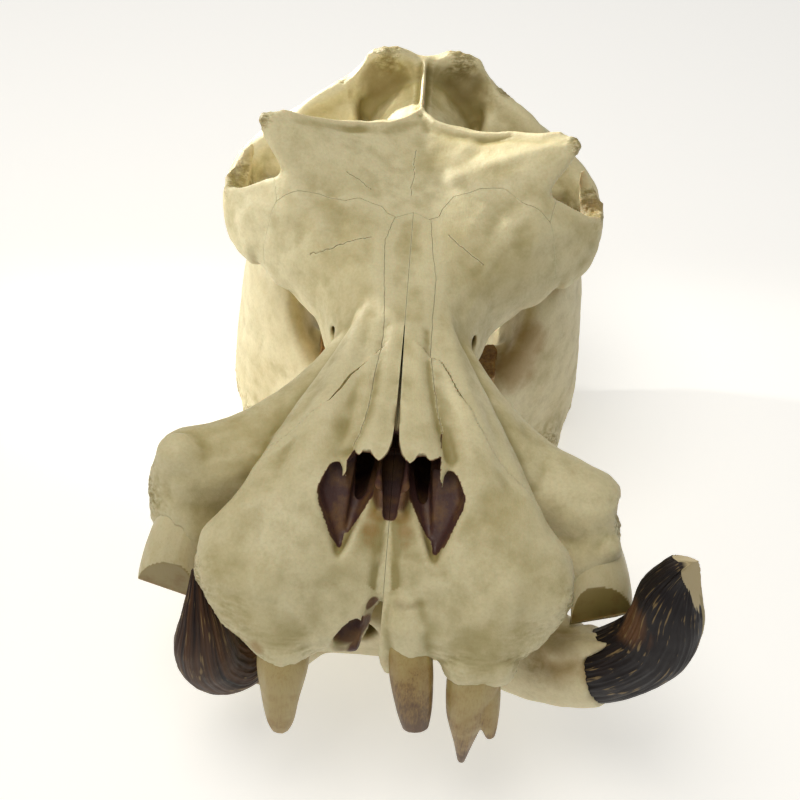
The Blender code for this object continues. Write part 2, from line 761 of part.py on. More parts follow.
def sutures():
    """Thin walls along the seams between the bones of the cranium."""
    walls = []
    walls.append(slit("face_foot", [(-260, y, z) for y, z in FACE_FOOT], (520, 0, 0)))
    walls.append(prism("nose_ledge", [(-29, 394), (29, 394), (29, 404.2), (-29, 404.2)],
                       FACE_LEDGE - SEAM / 2, FACE_LEDGE + SEAM / 2))
    walls.append(slit("nose_root", [(-16.6, 395, FACE_LEDGE), (16.6, 395, FACE_LEDGE)],
                      (0, 0, 5)))
    walls.append(slit("crown_suture", [(-136, y, z) for y, z in CROWN_SUTURE], (272, 0, 0)))
    middle = [(-40, -90), (-40, 250), (404.5, 250)] + list(FACE_FOOT)
    walls.append(plate("middle_suture", middle, SEAM, "YZ", 0))
    for side in (-1, 1):
        walls.append(slit("premaxilla_suture", [
            (side * x, y, -60) for x, y in (
                (30.6, 270), (36, 242), (45, 218), (62, 196), (84, 168), (104, 146),
                (126, 118), (150, 96), (230, 84))], (0, 0, 260)))
        walls.append(slit("hidden_suture", [(0, 270, -60), (side * 30.9, 270, -60)],
                          (0, 0, NASAL_FOOT - NASAL_FALL * 170 + 60)))
        nose = [(0, 100), (42, 100), (39, 160), (35, 210), (31, 262), (28, 312),
                (22, 360), (17, 394), (0, 404)]
        walls.append(shell("nasal_suture", prism("nasal", [
            (side * x, y) for x, y in nose], NASAL_FOOT, 260, NASAL_FALL)))
        walls.append(slit("brow_suture", [
            (side * x, y, FACE_LEDGE) for x, y in BROW_SUTURE], (0, 0, 160)))
        walls.append(prism("brow_ledge", [(side * 26, 403.8)] + [
            (side * x, y + 0.2) for x, y in BROW_SUTURE[2:]], FACE_LEDGE - SEAM / 2,
            FACE_LEDGE + SEAM / 2))
        walls.append(shell("jugal_suture", prism("jugal", [
            (side * x, y) for x, y in (
                (129, 404), (146, 382), (270, 370), (270, 530), (206, 538), (150, 566),
                (139, 540), (139, 446))], -80, 186)))
    return walls


BONE_SPOTS = {
    "nasal_right": (-16, 200, 138), "nasal_left": (16, 200, 138),
    "premaxilla_right": (-90, 30, 30), "premaxilla_left": (90, 30, 30),
    "maxilla_right": (-60, 240, 20), "maxilla_left": (60, 240, 20),
    "frontal": (0, 470, 178), "braincase": (0, 660, 120),
    "jugal_right": (-190, 480, 100), "jugal_left": (190, 480, 100),
}


def part_bones(body):
    """Split the cut cranium into its loose bones and name each by where it lies."""
    bpy.context.view_layer.objects.active = body
    body.select_set(True)
    bpy.ops.mesh.separate(type="LOOSE")
    pieces = list(bpy.context.selected_objects)
    bones = {}
    for name, spot in BONE_SPOTS.items():
        target = place(*spot)

        def reach(piece):
            return min((vert.co - target).length for vert in piece.data.vertices)

        bones[name] = min(pieces, key=reach)
    for piece in pieces:
        if piece not in bones.values():
            bpy.data.objects.remove(piece)
    return bones


def finish(piece, name, finish_material):
    """Move a piece into the skull's own collection with its name and its material."""
    for collection in list(piece.users_collection):
        collection.objects.unlink(piece)
    bpy.data.collections["hippo_skull"].objects.link(piece)
    piece.name = name
    piece.data.name = name
    piece.hide_render = False
    piece.display_type = "TEXTURED"
    piece.data.materials.clear()
    piece.data.materials.append(finish_material)
    piece.data.shade_smooth()
    piece.data.set_sharp_from_angle(angle=math.radians(35))
    return piece


def build():
    start()
    bone = material("dry_bone", BONE, 0.62)
    jaw_bone = material("jaw_bone", JAW_BONE, 0.62)
    enamel = material("worn_ivory", ENAMEL, 0.45)
    ivory = material("dark_tusk", TUSK, 0.38)

    skull = thin_out(cranium(), CRANIUM_FACES)
    carve(skull, [block("bite_plane", (-90, 180, BITE - 60), (90, 460, BITE))])
    sockets = []
    for side in (-1, 1):
        sockets.append(loft("canine_socket", tooth_root(UPPER_CANINE), across=(1, 0, 0),
                            sides=14, steps=2, square=2.3, side=side))
    for prongs in UPPER_INCISORS.values():
        for prong in prongs:
            sockets.append(loft("incisor_socket", tooth_root(prong), sides=14, steps=2,
                                square=2.2))
    carve(skull, sockets)
    carve(skull, nose_tips())
    carve(skull, sutures())
    for name, piece in part_bones(skull).items():
        finish(piece, name, bone)

    mandible = thin_out(jaw(), JAW_FACES)
    mandible.data.transform(Matrix.Translation((JAW_ASIDE * MM, 0, 0)))
    carve(mandible, [
        block("floor", (-300, -100, -PALATE_UP - 80), (300, 700, -PALATE_UP)),
        block("bite_plane", (-84 + JAW_ASIDE, 180, BITE - 2 * SEAM),
              (84 + JAW_ASIDE, 450, BITE + 60)),
    ])
    holes = []
    for side in (-1, 1):
        holes.append(loft("tusk_hole", tooth_root(LOWER_TUSKS[side]), across=(0, 1, 0),
                          sides=14, steps=2, square=2.3, side=side))
        holes.append(loft("canine_clearance", grown(UPPER_CANINE, 3), sides=14, steps=2,
                          square=2.3, side=side))
    carve(mandible, holes)
    finish(mandible, "mandible", jaw_bone)

    for side in (-1, 1):
        tusk = lower_tusk(side)
        finish(tusk, tusk.name, ivory)
        canine = upper_canine(side)
        finish(canine, canine.name, enamel)
    for name in UPPER_INCISORS:
        finish(upper_incisor(name), name, enamel)


build()
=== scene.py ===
"""Looks of a life-size hippopotamus skull that lies on its own lower jaw.

The nose points along -Y and the animal's own left is +X. A place is written in
millimetres as (across, back, up): across from the midline, back from the front of the
premaxillae, and up from the plane of the palate.
"""
import math

import bmesh
import bpy
import numpy as np
from mathutils import Matrix, Vector, noise
from mathutils.bvhtree import BVHTree


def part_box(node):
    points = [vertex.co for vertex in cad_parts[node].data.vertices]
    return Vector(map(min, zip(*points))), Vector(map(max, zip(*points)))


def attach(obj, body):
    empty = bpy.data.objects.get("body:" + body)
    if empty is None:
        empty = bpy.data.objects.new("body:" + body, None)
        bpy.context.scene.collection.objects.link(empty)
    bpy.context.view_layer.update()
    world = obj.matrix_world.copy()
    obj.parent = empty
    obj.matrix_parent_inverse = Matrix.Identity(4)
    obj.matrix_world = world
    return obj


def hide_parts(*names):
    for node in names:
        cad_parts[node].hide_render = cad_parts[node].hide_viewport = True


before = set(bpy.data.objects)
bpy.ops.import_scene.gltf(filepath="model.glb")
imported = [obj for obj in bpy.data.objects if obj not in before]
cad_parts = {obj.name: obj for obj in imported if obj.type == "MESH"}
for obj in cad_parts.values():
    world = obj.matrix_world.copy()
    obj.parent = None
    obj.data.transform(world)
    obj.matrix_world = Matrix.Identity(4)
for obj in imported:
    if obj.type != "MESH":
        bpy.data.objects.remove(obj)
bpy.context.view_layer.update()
scene = bpy.context.scene

# Where the skull lies and how it is seen
# The frame's origin is on the floor under the chin. The skull was photographed from
# above and in front with a short telephoto lens, the camera rolled a little.
MM = 0.001
CHIN_BACK = 210.0
PALATE_UP = 205.0
CAMERA_PLACE = (-3.7, -484.0, 806.0)
CAMERA_PITCH = 45.2
CAMERA_YAW = 0.4
CAMERA_ROLL = 4.9
LENS = 51.7


def place(across, back, up):
    return Vector((across, back - CHIN_BACK, up + PALATE_UP)) * MM


lens = bpy.data.cameras.new("camera")
lens.lens = LENS
camera = bpy.data.objects.new("camera", lens)
camera.matrix_world = Matrix.Translation(place(*CAMERA_PLACE))
for degrees, axis in ((-CAMERA_YAW, "Z"), (90 - CAMERA_PITCH, "X"), (CAMERA_ROLL, "Z")):
    camera.matrix_world @= Matrix.Rotation(math.radians(degrees), 4, axis)
scene.collection.objects.link(camera)
scene.camera = camera


# The studio: glowing white paper, a dim white room, a soft skylight and low sun
# The sun comes low over the animal's right shoulder and strikes only the crown, a lamp
# beside it the right cheek and jaw, and the muzzle lies in the skylight's soft shade.
PAPER_SIZE = 60.0
ROOM_LIGHT = 0.32
PAPER_GLOW = 0.4
SKYLIGHT_WATTS = 25.0
SUN_WATTS = 400.0
SUN_SPREAD = 11.0
SIDE_WATTS = 150.0
SIDE_SPREAD = 16.0
SUN_SOFTNESS = 0.07


def linear(hex_colour):
    """The linear colour of an sRGB hex value."""
    parts = [int(hex_colour[at:at + 2], 16) / 255 for at in (1, 3, 5)]
    return tuple(c / 12.92 if c <= 0.04045 else ((c + 0.055) / 1.055) ** 2.4
                 for c in parts) + (1.0,)


def add(tree, kind, inputs=(), output=0, **settings):
    """One node with its settings. An input takes a socket, a hex colour or a value."""
    node = tree.nodes.new(kind)
    for name, value in settings.items():
        setattr(node, name, value)
    for name, value in inputs.items() if isinstance(inputs, dict) else enumerate(inputs):
        if isinstance(value, bpy.types.NodeSocket):
            tree.links.new(value, node.inputs[name])
        else:
            is_hex = str(value).startswith("#")
            node.inputs[name].default_value = linear(value) if is_hex else value
    return node.outputs[output] if node.outputs else node


def new_material(name):
    material = bpy.data.materials.new(name)
    material.use_nodes = True
    material.node_tree.nodes.clear()
    return material, material.node_tree


def hang(name, kind, where, target, power, colour, **settings):
    """A lamp of that kind, turned towards its target."""
    light = bpy.data.lights.new(name, kind)
    light.energy = power
    light.color = linear(colour)[:3]
    for setting, value in settings.items():
        setattr(light, setting, value)
    holder = bpy.data.objects.new(name, light)
    towards = Vector(target) - Vector(where)
    turn = towards.to_track_quat("-Z", "Y")
    holder.matrix_world = Matrix.LocRotScale(where, turn, None)
    scene.collection.objects.link(holder)


bpy.ops.mesh.primitive_plane_add(size=PAPER_SIZE)
floor = bpy.context.object
floor.name = "floor"
paper, tree = new_material("matt white paper")
sheet = add(tree, "ShaderNodeBsdfPrincipled", {
    "Base Color": "#F7F6F3", "Roughness": 0.9, "Emission Color": "#FFFFFF",
    "Emission Strength": PAPER_GLOW})
add(tree, "ShaderNodeOutputMaterial", {"Surface": sheet})
floor.data.materials.append(paper)
room = bpy.data.worlds.new("white room")
room.use_nodes = True
air = room.node_tree.nodes["Background"].inputs
air["Color"].default_value = linear("#FFFDF8")
air["Strength"].default_value = ROOM_LIGHT
scene.world = room
scene.view_settings.view_transform = "Standard"
hang("skylight", "AREA", (-0.5, -0.2, 2.4), (0, 0, 0.3), SKYLIGHT_WATTS, "#FFFAF0",
     shape="DISK", size=1.5)
for name, where, target, power, spread in (
        ("low sun", (-1.45, 2.0, 0.86), (0.02, 0.33, 0.37), SUN_WATTS, SUN_SPREAD),
        ("side lamp", (-2.3, 0.6, 0.62), (-0.16, 0.33, 0.16), SIDE_WATTS, SIDE_SPREAD)):
    hang(name, "SPOT", where, target, power, "#FFFCF5",
         spot_size=math.radians(spread), spot_blend=0.6, shadow_soft_size=SUN_SOFTNESS)


# The tusks
# The lower canines are curved ivory under black, ridged enamel. Each was ground flat at
# the tip by the canine above it, and the enamel is missing along a strip down its back.
LOWER_TUSKS = {
    "tusk_right": (
        (80, 150, -118, 24, 27), (106, 102, -114, 26, 28), (130, 66, -98, 26, 29),
        (143, 50, -66, 26, 27), (147, 45, -34, 23, 25), (148, 50, -6, 17, 18),
        (150, 60, 14, 10, 11), (152, 70, 34, 5, 5)),
    "tusk_left": (
        (92, 146, -110, 24, 27), (124, 106, -96, 27, 29), (158, 78, -78, 29, 30),
        (196, 66, -54, 30, 31), (226, 62, -14, 30, 31), (233, 64, 20, 28, 30),
        (231, 68, 50, 25, 26), (233, 70, 76, 17, 17), (236, 66, 98, 11, 10)),
}
# each tip's ground faces: a spot on it, and which way it looks
WORN_TIPS = {
    "tusk_right": (((-156, 68, 20), (-0.1, 0.97, -0.22)),),
    "tusk_left": (((236, 59, 85), (0.72, -0.5, 0.48)), ((236, 66, 98), (0.1, 0.6, 0.8)))}
WORN_REACH = 70.0
BARE_SIDE = {"tusk_right": 1.0, "tusk_left": 4.6}
# the left tusk is rusty round one spot, the right one all over
RUSTY_SPOT = (204, 60, 24)
RUSTY_REACH = 34.0
RIGHT_RUST = 0.7
ENAMEL_RIDGE = 1.0
RIDGES_ROUND = 8.0
TUSK_RADIUS = 27.0
TUSK_SIDES = 240
TUSK_STEPS = 20
STREAK = 1.7
CHIP = 9.0
PATCH = 26.0


def new_piece(name, bm):
    mesh = bpy.data.meshes.new(name)
    bmesh.ops.recalc_face_normals(bm, faces=bm.faces)
    bm.to_mesh(mesh)
    bm.free()
    piece = bpy.data.objects.new(name, mesh)
    scene.collection.objects.link(piece)
    return piece


def smooth_rows(rows, steps):
    """Rows read from a smooth curve through the given rows."""
    rows = np.array(rows, float)
    padded = (rows[0], *rows, rows[-1])
    dense = []
    for a, b, c, d in zip(padded, padded[1:], padded[2:], padded[3:]):
        for t in np.arange(steps) / steps:
            bend = (2 * a - 5 * b + 4 * c - d) * t + (3 * b - 3 * c + d - a) * t * t
            dense.append(b + 0.5 * t * (c - a + bend))
    return dense + [rows[-1]]


def sweep(name, rows, across, sides, steps, side=1, square=2.3, relief=None):
    """A closed body through rows of (across, back, up, half width, half depth).

    relief tells how proud a corner stands, from its angle and its way along. Those
    three numbers are returned for every corner.
    """
    rings = smooth_rows(rows, steps)
    centres = [Vector((side * row[0], row[1], row[2])) for row in rings]
    wide = Vector((side * across[0], *across[1:]))
    bm = bmesh.new()
    loops = []
    marks = []
    along = 0.0
    neighbours = zip((centres[0], *centres), centres, (*centres[1:], centres[-1]))
    for row, (behind, here, ahead) in zip(rings, neighbours):
        along += (here - behind).length
        path = (ahead - behind).normalized()
        u = (wide - path * wide.dot(path)).normalized()
        v = path.cross(u)
        loop = []
        for corner in range(sides):
            angle = 2 * math.pi * corner / sides
            x, y = (math.copysign(abs(c) ** (2 / square), c)
                    for c in (math.cos(angle), math.sin(angle)))
            proud = relief(angle, along) if relief else 0.0
            out = u * x * row[3] + v * y * row[4]
            out *= 1 + proud / max(out.length, 1.0)
            loop.append(bm.verts.new(place(*(here + out))))
            marks.append((angle, along, proud))
        loops.append(loop)
    for first, second in zip(loops, loops[1:]):
        for corner in range(sides):
            after = (corner + 1) % sides
            bm.faces.new((first[corner], first[after], second[after], second[corner]))
    bm.faces.new(loops[0])
    bm.faces.new(loops[-1])
    return new_piece(name, bm), np.array(marks)


def pull(items, field, width, kind=np.float32):
    """A row of numbers from each corner or edge of a mesh."""
    values = np.empty(len(items) * width, kind)
    items.foreach_get(field, values)
    return values.reshape(-1, width)


def read_surface(piece):
    """The corners of a mesh in skull millimetres, with their normals."""
    corners = pull(piece.data.vertices, "co", 3).astype(float) / MM
    normals = pull(piece.data.vertex_normals, "vector", 3).astype(float)
    return corners + (0, CHIN_BACK, -PALATE_UP), normals


def write_surface(piece, corners):
    inside = (corners - (0, CHIN_BACK, -PALATE_UP)) * MM
    piece.data.vertices.foreach_set("co", inside.astype(np.float32).ravel())
    piece.data.update()


def grind(piece, point, facing, reach=1000.0):
    """Wears flat what stands past a plane, and tells how far each corner gave way."""
    corners, _ = read_surface(piece)
    facing = np.array(facing) / np.linalg.norm(facing)
    past = np.maximum((corners - point) @ facing, 0)
    past *= np.linalg.norm(corners - point, axis=1) < reach
    write_surface(piece, corners - past[:, None] * facing)
    return past


def unit(values):
    """Values held between 0 and 1."""
    return np.clip(values, 0, 1)


def mark(piece, name, values):
    """Keeps numbers at the corners of a mesh, for its finish to read."""
    values = np.array(values, np.float32)
    kind, field = ("FLOAT", "value") if values.ndim == 1 else ("FLOAT_VECTOR", "vector")
    layer = piece.data.attributes.new(name, kind, "POINT")
    layer.data.foreach_set(field, values.ravel())


def dress(piece, material):
    piece.data.materials.clear()
    piece.data.materials.append(material)
    piece.data.shade_smooth()


def ridged(angle, along):
    """Ridges down the tusk, some fading and others starting on the way."""
    spot = Vector((math.cos(angle) * RIDGES_ROUND, math.sin(angle) * RIDGES_ROUND,
                   along / 55))
    fine = noise.noise(spot * 2.3)
    band = noise.noise(Vector((along / 7, angle, 5.0))) * 0.2
    return ENAMEL_RIDGE * (0.5 - abs(noise.noise(spot)) * 2 + 0.3 * fine + band)


def tinted(tree, colour, layers):
    """A colour under thin stains: what each follows, from, to, its strength and tint."""
    for source, start, end, strength, tint in layers:
        share = add(tree, "ShaderNodeMapRange", {
            "Value": source, "From Min": start, "From Max": end, "To Max": strength})
        colour = add(tree, "ShaderNodeMix", {0: share, 6: colour, 7: tint}, 2,
                     data_type="RGBA")
    return colour


def coat(tree, relief, depth, strength, patch, sheen, inputs):
    """The outside of a finish: fine relief and a patchy sheen."""
    bump = add(tree, "ShaderNodeBump", {
        "Height": relief, "Strength": strength, "Distance": depth * MM})
    gloss = add(tree, "ShaderNodeMapRange", {
        "Value": patch, "From Min": 0.3, "From Max": 0.7, "To Min": sheen[0],
        "To Max": sheen[1]})
    shader = add(tree, "ShaderNodeBsdfPrincipled", {
        "Normal": bump, "Roughness": gloss, **inputs})
    add(tree, "ShaderNodeOutputMaterial", {"Surface": shader})


def ridged_enamel():
    """Weathered enamel: black with tar between tan ridges, rusty and pale where chipped."""
    material, tree = new_material("black ridged enamel")
    where = add(tree, "ShaderNodeTexCoord", output="Object")
    strand = add(tree, "ShaderNodeAttribute", output="Vector", attribute_name="strand")
    ridge, bare, worn, rust = (
        add(tree, "ShaderNodeAttribute", output="Fac", attribute_name=name)
        for name in ("ridge", "bare", "worn", "rust"))
    streak, chip, patch = (
        add(tree, "ShaderNodeTexNoise", {
            "Vector": spot, "Scale": 1 / size, "Detail": detail, "Roughness": rough})
        for spot, size, detail, rough in (
            (strand, STREAK, 5, 0.65), (strand, CHIP, 4, 0.6), (where, PATCH * MM, 4, 0.5)))
    line, flake, rusty = (add(tree, "ShaderNodeMath", pair, operation="ADD")
                          for pair in ((ridge, streak), (bare, chip), (rust, chip)))
    colour = tinted(tree, "#140C0E", (
        (patch, 0.55, 0.75, 0.6, "#2E1F1B"), (rusty, 1.05, 1.4, 0.75, "#694526"),
        (line, 0.92, 1.12, 0.85, "#86704A"), (chip, 0.62, 0.72, 0.5, "#665334"),
        (flake, 1.1, 1.3, 1.0, "#A3946A"), (worn, 0.2, 0.6, 1.0, "#BDAC84")))
    coat(tree, streak, 0.7, 0.6, patch, (0.42, 0.65), {
        "Base Color": colour, "IOR": 1.62, "Specular IOR Level": 0.22})
    return material


enamel = ridged_enamel()
for node, rows in LOWER_TUSKS.items():
    side = 1 if node == "tusk_left" else -1
    tusk, marks = sweep("tooth_" + node, rows, (0, 1, 0), TUSK_SIDES, TUSK_STEPS, side,
                        relief=ridged)
    worn = sum(grind(tusk, *plane, WORN_REACH) for plane in WORN_TIPS[node])
    angle, along, proud = marks.T
    away = np.abs((angle - BARE_SIDE[node] + math.pi) % (2 * math.pi) - math.pi)
    inner = np.linalg.norm(read_surface(tusk)[0] - RUSTY_SPOT, axis=1) / RUSTY_REACH
    mark(tusk, "worn", unit(worn / 0.6))
    mark(tusk, "bare", unit((0.5 - away) / 0.2))
    mark(tusk, "ridge", proud / ENAMEL_RIDGE)
    mark(tusk, "rust", unit(1.3 - inner) if side > 0 else np.full(len(inner), RIGHT_RUST))
    # places on the unrolled tooth in mm, shortened along its length
    mark(tusk, "strand", np.stack((
        np.cos(angle) * TUSK_RADIUS, np.sin(angle) * TUSK_RADIUS, along * 0.07), axis=1))
    dress(tusk, enamel)
    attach(tusk, "root")
    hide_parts(node)


# The upper canines
# Short, stout teeth that stand in the great side processes. The tusk below has cut a
# broad flat facet across the front of each, and its end is worn off slanting.
UPPER_CANINES = {
    "canine_right": (
        (158, 164, 54, 16, 17), (167, 146, 38, 19, 19), (178, 126, 18, 22, 21),
        (185, 108, -6, 24, 20), (190, 96, -32, 24, 17), (191, 90, -48, 20, 14)),
    "canine_left": (
        (158, 164, 54, 16, 17), (168, 146, 38, 20, 19), (180, 126, 18, 24, 21),
        (188, 108, -6, 26, 20), (192, 96, -32, 26, 17), (193, 90, -48, 22, 14)),
}
CANINE_WEAR = {
    "canine_right": (((0, 93, 0), (0, -1, -0.02)), ((-209, 95, -21), (-0.49, 0, -1))),
    "canine_left": (((0, 96.5, 0), (0, -1, 0.08)), ((177, 96, -30), (0.45, 0, -1))),
}
FLUTE_HEIGHT = 0.5
STAIN_PATCH = 16.0


def fluted(angle, along):
    spot = Vector((math.cos(angle) * 3, math.sin(angle) * 3, along / 60))
    return FLUTE_HEIGHT * noise.fractal(spot, 0.8, 2.0, 3)


def ivory(name, root, crown, stain, facet, fibre):
    """Ivory and thin enamel: cream at the root, stained lengthwise towards the tip."""
    material, tree = new_material(name)
    where = add(tree, "ShaderNodeTexCoord", output="Object")
    drawn = add(tree, "ShaderNodeMapping", {"Vector": where, "Scale": (1.0, 1.0, 0.05)})
    fibres, patch = (
        add(tree, "ShaderNodeTexNoise", {
            "Vector": spot, "Scale": 1 / (size * MM), "Detail": 5.0, "Roughness": 0.6})
        for spot, size in ((drawn, fibre), (where, STAIN_PATCH)))
    tip, worn = (add(tree, "ShaderNodeAttribute", output="Fac", attribute_name=name)
                 for name in ("tip", "worn"))
    spread = add(tree, "ShaderNodeMath", (tip, patch), operation="ADD")
    streaked = add(tree, "ShaderNodeMath", (spread, fibres), operation="ADD")
    scratched = add(tree, "ShaderNodeMath", (worn, patch), operation="ADD")
    colour = tinted(tree, root, (
        (spread, 0.7, 1.15, 1.0, crown), (fibres, 0.5, 0.68, 0.4, crown),
        (streaked, 1.5, 1.95, 0.9, stain), (worn, 0.2, 0.7, 1.0, facet),
        (scratched, 1.5, 1.75, 0.8, stain)))
    coat(tree, fibres, 0.5, 0.35, patch, (0.32, 0.55), {
        "Base Color": colour, "IOR": 1.54, "Subsurface Weight": 0.15,
        "Subsurface Scale": 0.006})
    return material


canine_ivory = ivory("fluted canine ivory", "#D2C79F", "#C0B281", "#80602B", "#96844A", 1.6)
for node, wear in CANINE_WEAR.items():
    side = 1 if node == "canine_left" else -1
    canine, marks = sweep("tooth_" + node, UPPER_CANINES[node], (1, 0, 0), 120, 14, side,
                          relief=fluted)
    worn = sum(grind(canine, *plane) for plane in wear)
    mark(canine, "worn", unit(worn / 0.5))
    mark(canine, "tip", np.clip(marks[:, 1] / 160 - 0.2, 0, 0.5))
    dress(canine, canine_ivory)
    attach(canine, "root")
    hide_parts(node)


# The upper incisors
# Three pegs are left of four, stained brown where they stood out of the gum. The second
# one on the left has split down its length into two prongs.
UPPER_INCISORS = {
    "incisor_right_2": [
        ((-76, 34, 14, 20, 19), (-77, 20, -14, 21, 19), (-78, 10, -46, 16, 14),
         (-78, 4, -74, 12, 10), (-78, 2, -90, 7, 6))],
    "incisor_left_1": [
        ((20, 58, 40, 13, 11), (23, 37, 17, 17, 15), (28, 20, -14, 18, 16),
         (33, 8, -48, 15, 13), (36, 2, -68, 11, 9))],
    "incisor_left_2": [
        ((78, 34, 14, 20, 19), (79, 20, -14, 22, 19), (77, 10, -50, 17, 15),
         (78, 3, -90, 8, 9), (79, 0, -116, 3, 4)),
        ((82, 28, 0, 16, 15), (90, 14, -30, 13, 13), (96, 5, -56, 8, 9),
         (99, 1, -72, 4, 5))],
}
TIP_STAIN = {"incisor_right_2": 0.45, "incisor_left_1": 1.1, "incisor_left_2": 0.95}
INCISOR_GRAIN = 1.1


def settle(piece):
    """Turns what the modifiers make into the piece's own mesh."""
    graph = bpy.context.evaluated_depsgraph_get()
    mesh = bpy.data.meshes.new_from_object(piece.evaluated_get(graph), depsgraph=graph)
    old = piece.data
    piece.modifiers.clear()
    piece.data = mesh
    bpy.data.meshes.remove(old)
    return piece


def join(name, pieces):
    bm = bmesh.new()
    for piece in pieces:
        bm.from_mesh(piece.data)
        bpy.data.objects.remove(piece)
    return new_piece(name, bm)


def fuse(piece, grain, rounds):
    """One closed skin round all that the mesh holds, with its creases softened."""
    skin = piece.modifiers.new("fuse", "REMESH")
    skin.mode = "VOXEL"
    skin.voxel_size = grain * MM
    soften = piece.modifiers.new("soften", "SMOOTH")
    soften.factor = 0.5
    soften.iterations = rounds
    return settle(piece)


peg_ivory = ivory("stained incisor ivory", "#AC985F", "#93753B", "#573A20", "#A8966A", 1.3)
for node, prongs in UPPER_INCISORS.items():
    shafts = [sweep("prong", rows, (1, 0, 0), 72, 12, square=2.2, relief=fluted)[0]
              for rows in prongs]
    incisor = fuse(join("tooth_" + node, shafts), INCISOR_GRAIN, 2)
    corners, _ = read_surface(incisor)
    depth = (corners[:, 2].max() - corners[:, 2]) / np.ptp(corners[:, 2])
    mark(incisor, "tip", depth * TIP_STAIN[node])
    dress(incisor, peg_ivory)
    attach(incisor, "root")
    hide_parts(node)


# The cheek teeth
# Three premolars and three molars stand in each row, low worn crowns of folded enamel
# that grow larger to the back. The upper and lower rows close on each other.
BITE = -30.0
TOOTH_LENGTHS = (30, 34, 34, 44, 50, 54)
TOOTH_WIDTHS = (17, 19, 22, 26, 29, 28)
TOOTH_GAP = 1.5
JAW_ASIDE = 7.0
# each row's start, its crowns' tops and feet, its spread and how far aside it is
TOOTH_ROWS = {"cheek_teeth_upper": (196, -2, BITE + 0.4, 0.06, 0),
              "cheek_teeth_lower": (190, BITE - 0.4, -66, 0.13, JAW_ASIDE)}


def crown_row_tree(finish):
    """Geometry nodes that set a folded crown on every point, of its own size."""
    tree = bpy.data.node_groups.new("row of folded crowns", "GeometryNodeTree")
    tree.interface.new_socket("Points", socket_type="NodeSocketGeometry")
    for name, kind, value in (
            ("Fold Depth", "Float", 0.16), ("Waist", "Float", 0.1),
            ("Wrinkle Height", "Float", 6 * MM), ("Wrinkle Size", "Float", 5 * MM),
            ("Seed", "Int", 4), ("Finish", "Material", finish)):
        socket = tree.interface.new_socket(name, socket_type="NodeSocket" + kind)
        socket.default_value = value
    tree.interface.new_socket("Teeth", in_out="OUTPUT", socket_type="NodeSocketGeometry")
    given = tree.nodes.new("NodeGroupInput").outputs
    blank = add(tree, "GeometryNodeMeshCylinder", {
        "Vertices": 56, "Side Segments": 14, "Fill Segments": 8, "Radius": 0.5,
        "Depth": 1.0}, fill_type="TRIANGLE_FAN")
    spot = add(tree, "GeometryNodeInputPosition")
    here = add(tree, "ShaderNodeSeparateXYZ", (spot,)).node.outputs
    fold = here["Y"]
    for operation, other in (("ARCTAN2", here["X"]), ("MULTIPLY", 4.0), ("COSINE", 0.0),
                             ("MULTIPLY", given["Fold Depth"])):
        fold = add(tree, "ShaderNodeMath", (fold, other), operation=operation)
    height = add(tree, "ShaderNodeMath", (here["Z"], here["Z"]), operation="MULTIPLY")
    inward = add(tree, "ShaderNodeMath", (height, given["Waist"], fold),
                 operation="MULTIPLY_ADD")
    share = add(tree, "ShaderNodeMath", (1.05, inward), operation="SUBTRACT")
    narrowed = add(tree, "ShaderNodeCombineXYZ", (share, share, 1.0))
    spread = add(tree, "ShaderNodeVectorMath", (spot, narrowed), operation="MULTIPLY")
    crown = add(tree, "GeometryNodeSetPosition", {"Geometry": blank, "Position": spread})
    size = add(tree, "GeometryNodeInputNamedAttribute", ("crown_size",),
               data_type="FLOAT_VECTOR")
    lean = add(tree, "FunctionNodeRandomValue", {
        0: (-0.05, -0.05, -0.09), 1: (0.05, 0.05, 0.09), "Seed": given["Seed"]},
        data_type="FLOAT_VECTOR")
    turn = add(tree, "FunctionNodeEulerToRotation", (lean,))
    stood = add(tree, "GeometryNodeInstanceOnPoints", {
        "Points": given["Points"], "Instance": crown, "Scale": size, "Rotation": turn})
    solid = add(tree, "GeometryNodeRealizeInstances", (stood,))
    pace = add(tree, "ShaderNodeMath", (1.0, given["Wrinkle Size"]), operation="DIVIDE")
    bumps = add(tree, "ShaderNodeTexNoise", {"Vector": spot, "Scale": pace, "Detail": 3.0})
    centred = add(tree, "ShaderNodeMath", (bumps, 0.5), operation="SUBTRACT")
    proud = add(tree, "ShaderNodeMath", (centred, given["Wrinkle Height"]),
                operation="MULTIPLY")
    offset = add(tree, "ShaderNodeVectorMath", {
        0: add(tree, "GeometryNodeInputNormal"), "Scale": proud}, operation="SCALE")
    rough = add(tree, "GeometryNodeSetPosition", {"Geometry": solid, "Offset": offset})
    coated = add(tree, "GeometryNodeSetMaterial", {
        "Geometry": rough, "Material": given["Finish"]})
    smooth = add(tree, "GeometryNodeSetShadeSmooth", (coated,))
    add(tree, "NodeGroupOutput", (smooth,))
    return tree


def tooth_row(name, start, top, bottom, spread, aside):
    """One jaw's two rows: a point for each tooth, and its length, width and height."""
    bm = bmesh.new()
    sizes = []
    for length, width in zip(TOOTH_LENGTHS, TOOTH_WIDTHS):
        middle = start + length / 2
        column = 53 + spread * (middle - 200)
        for side in (-1, 1):
            bm.verts.new(place(side * column + aside, middle, (top + bottom) / 2))
            sizes.append((width * MM, length * MM, (top - bottom) * MM))
        start += length + TOOTH_GAP
    piece = new_piece(name, bm)
    mark(piece, "crown_size", sizes)
    return piece


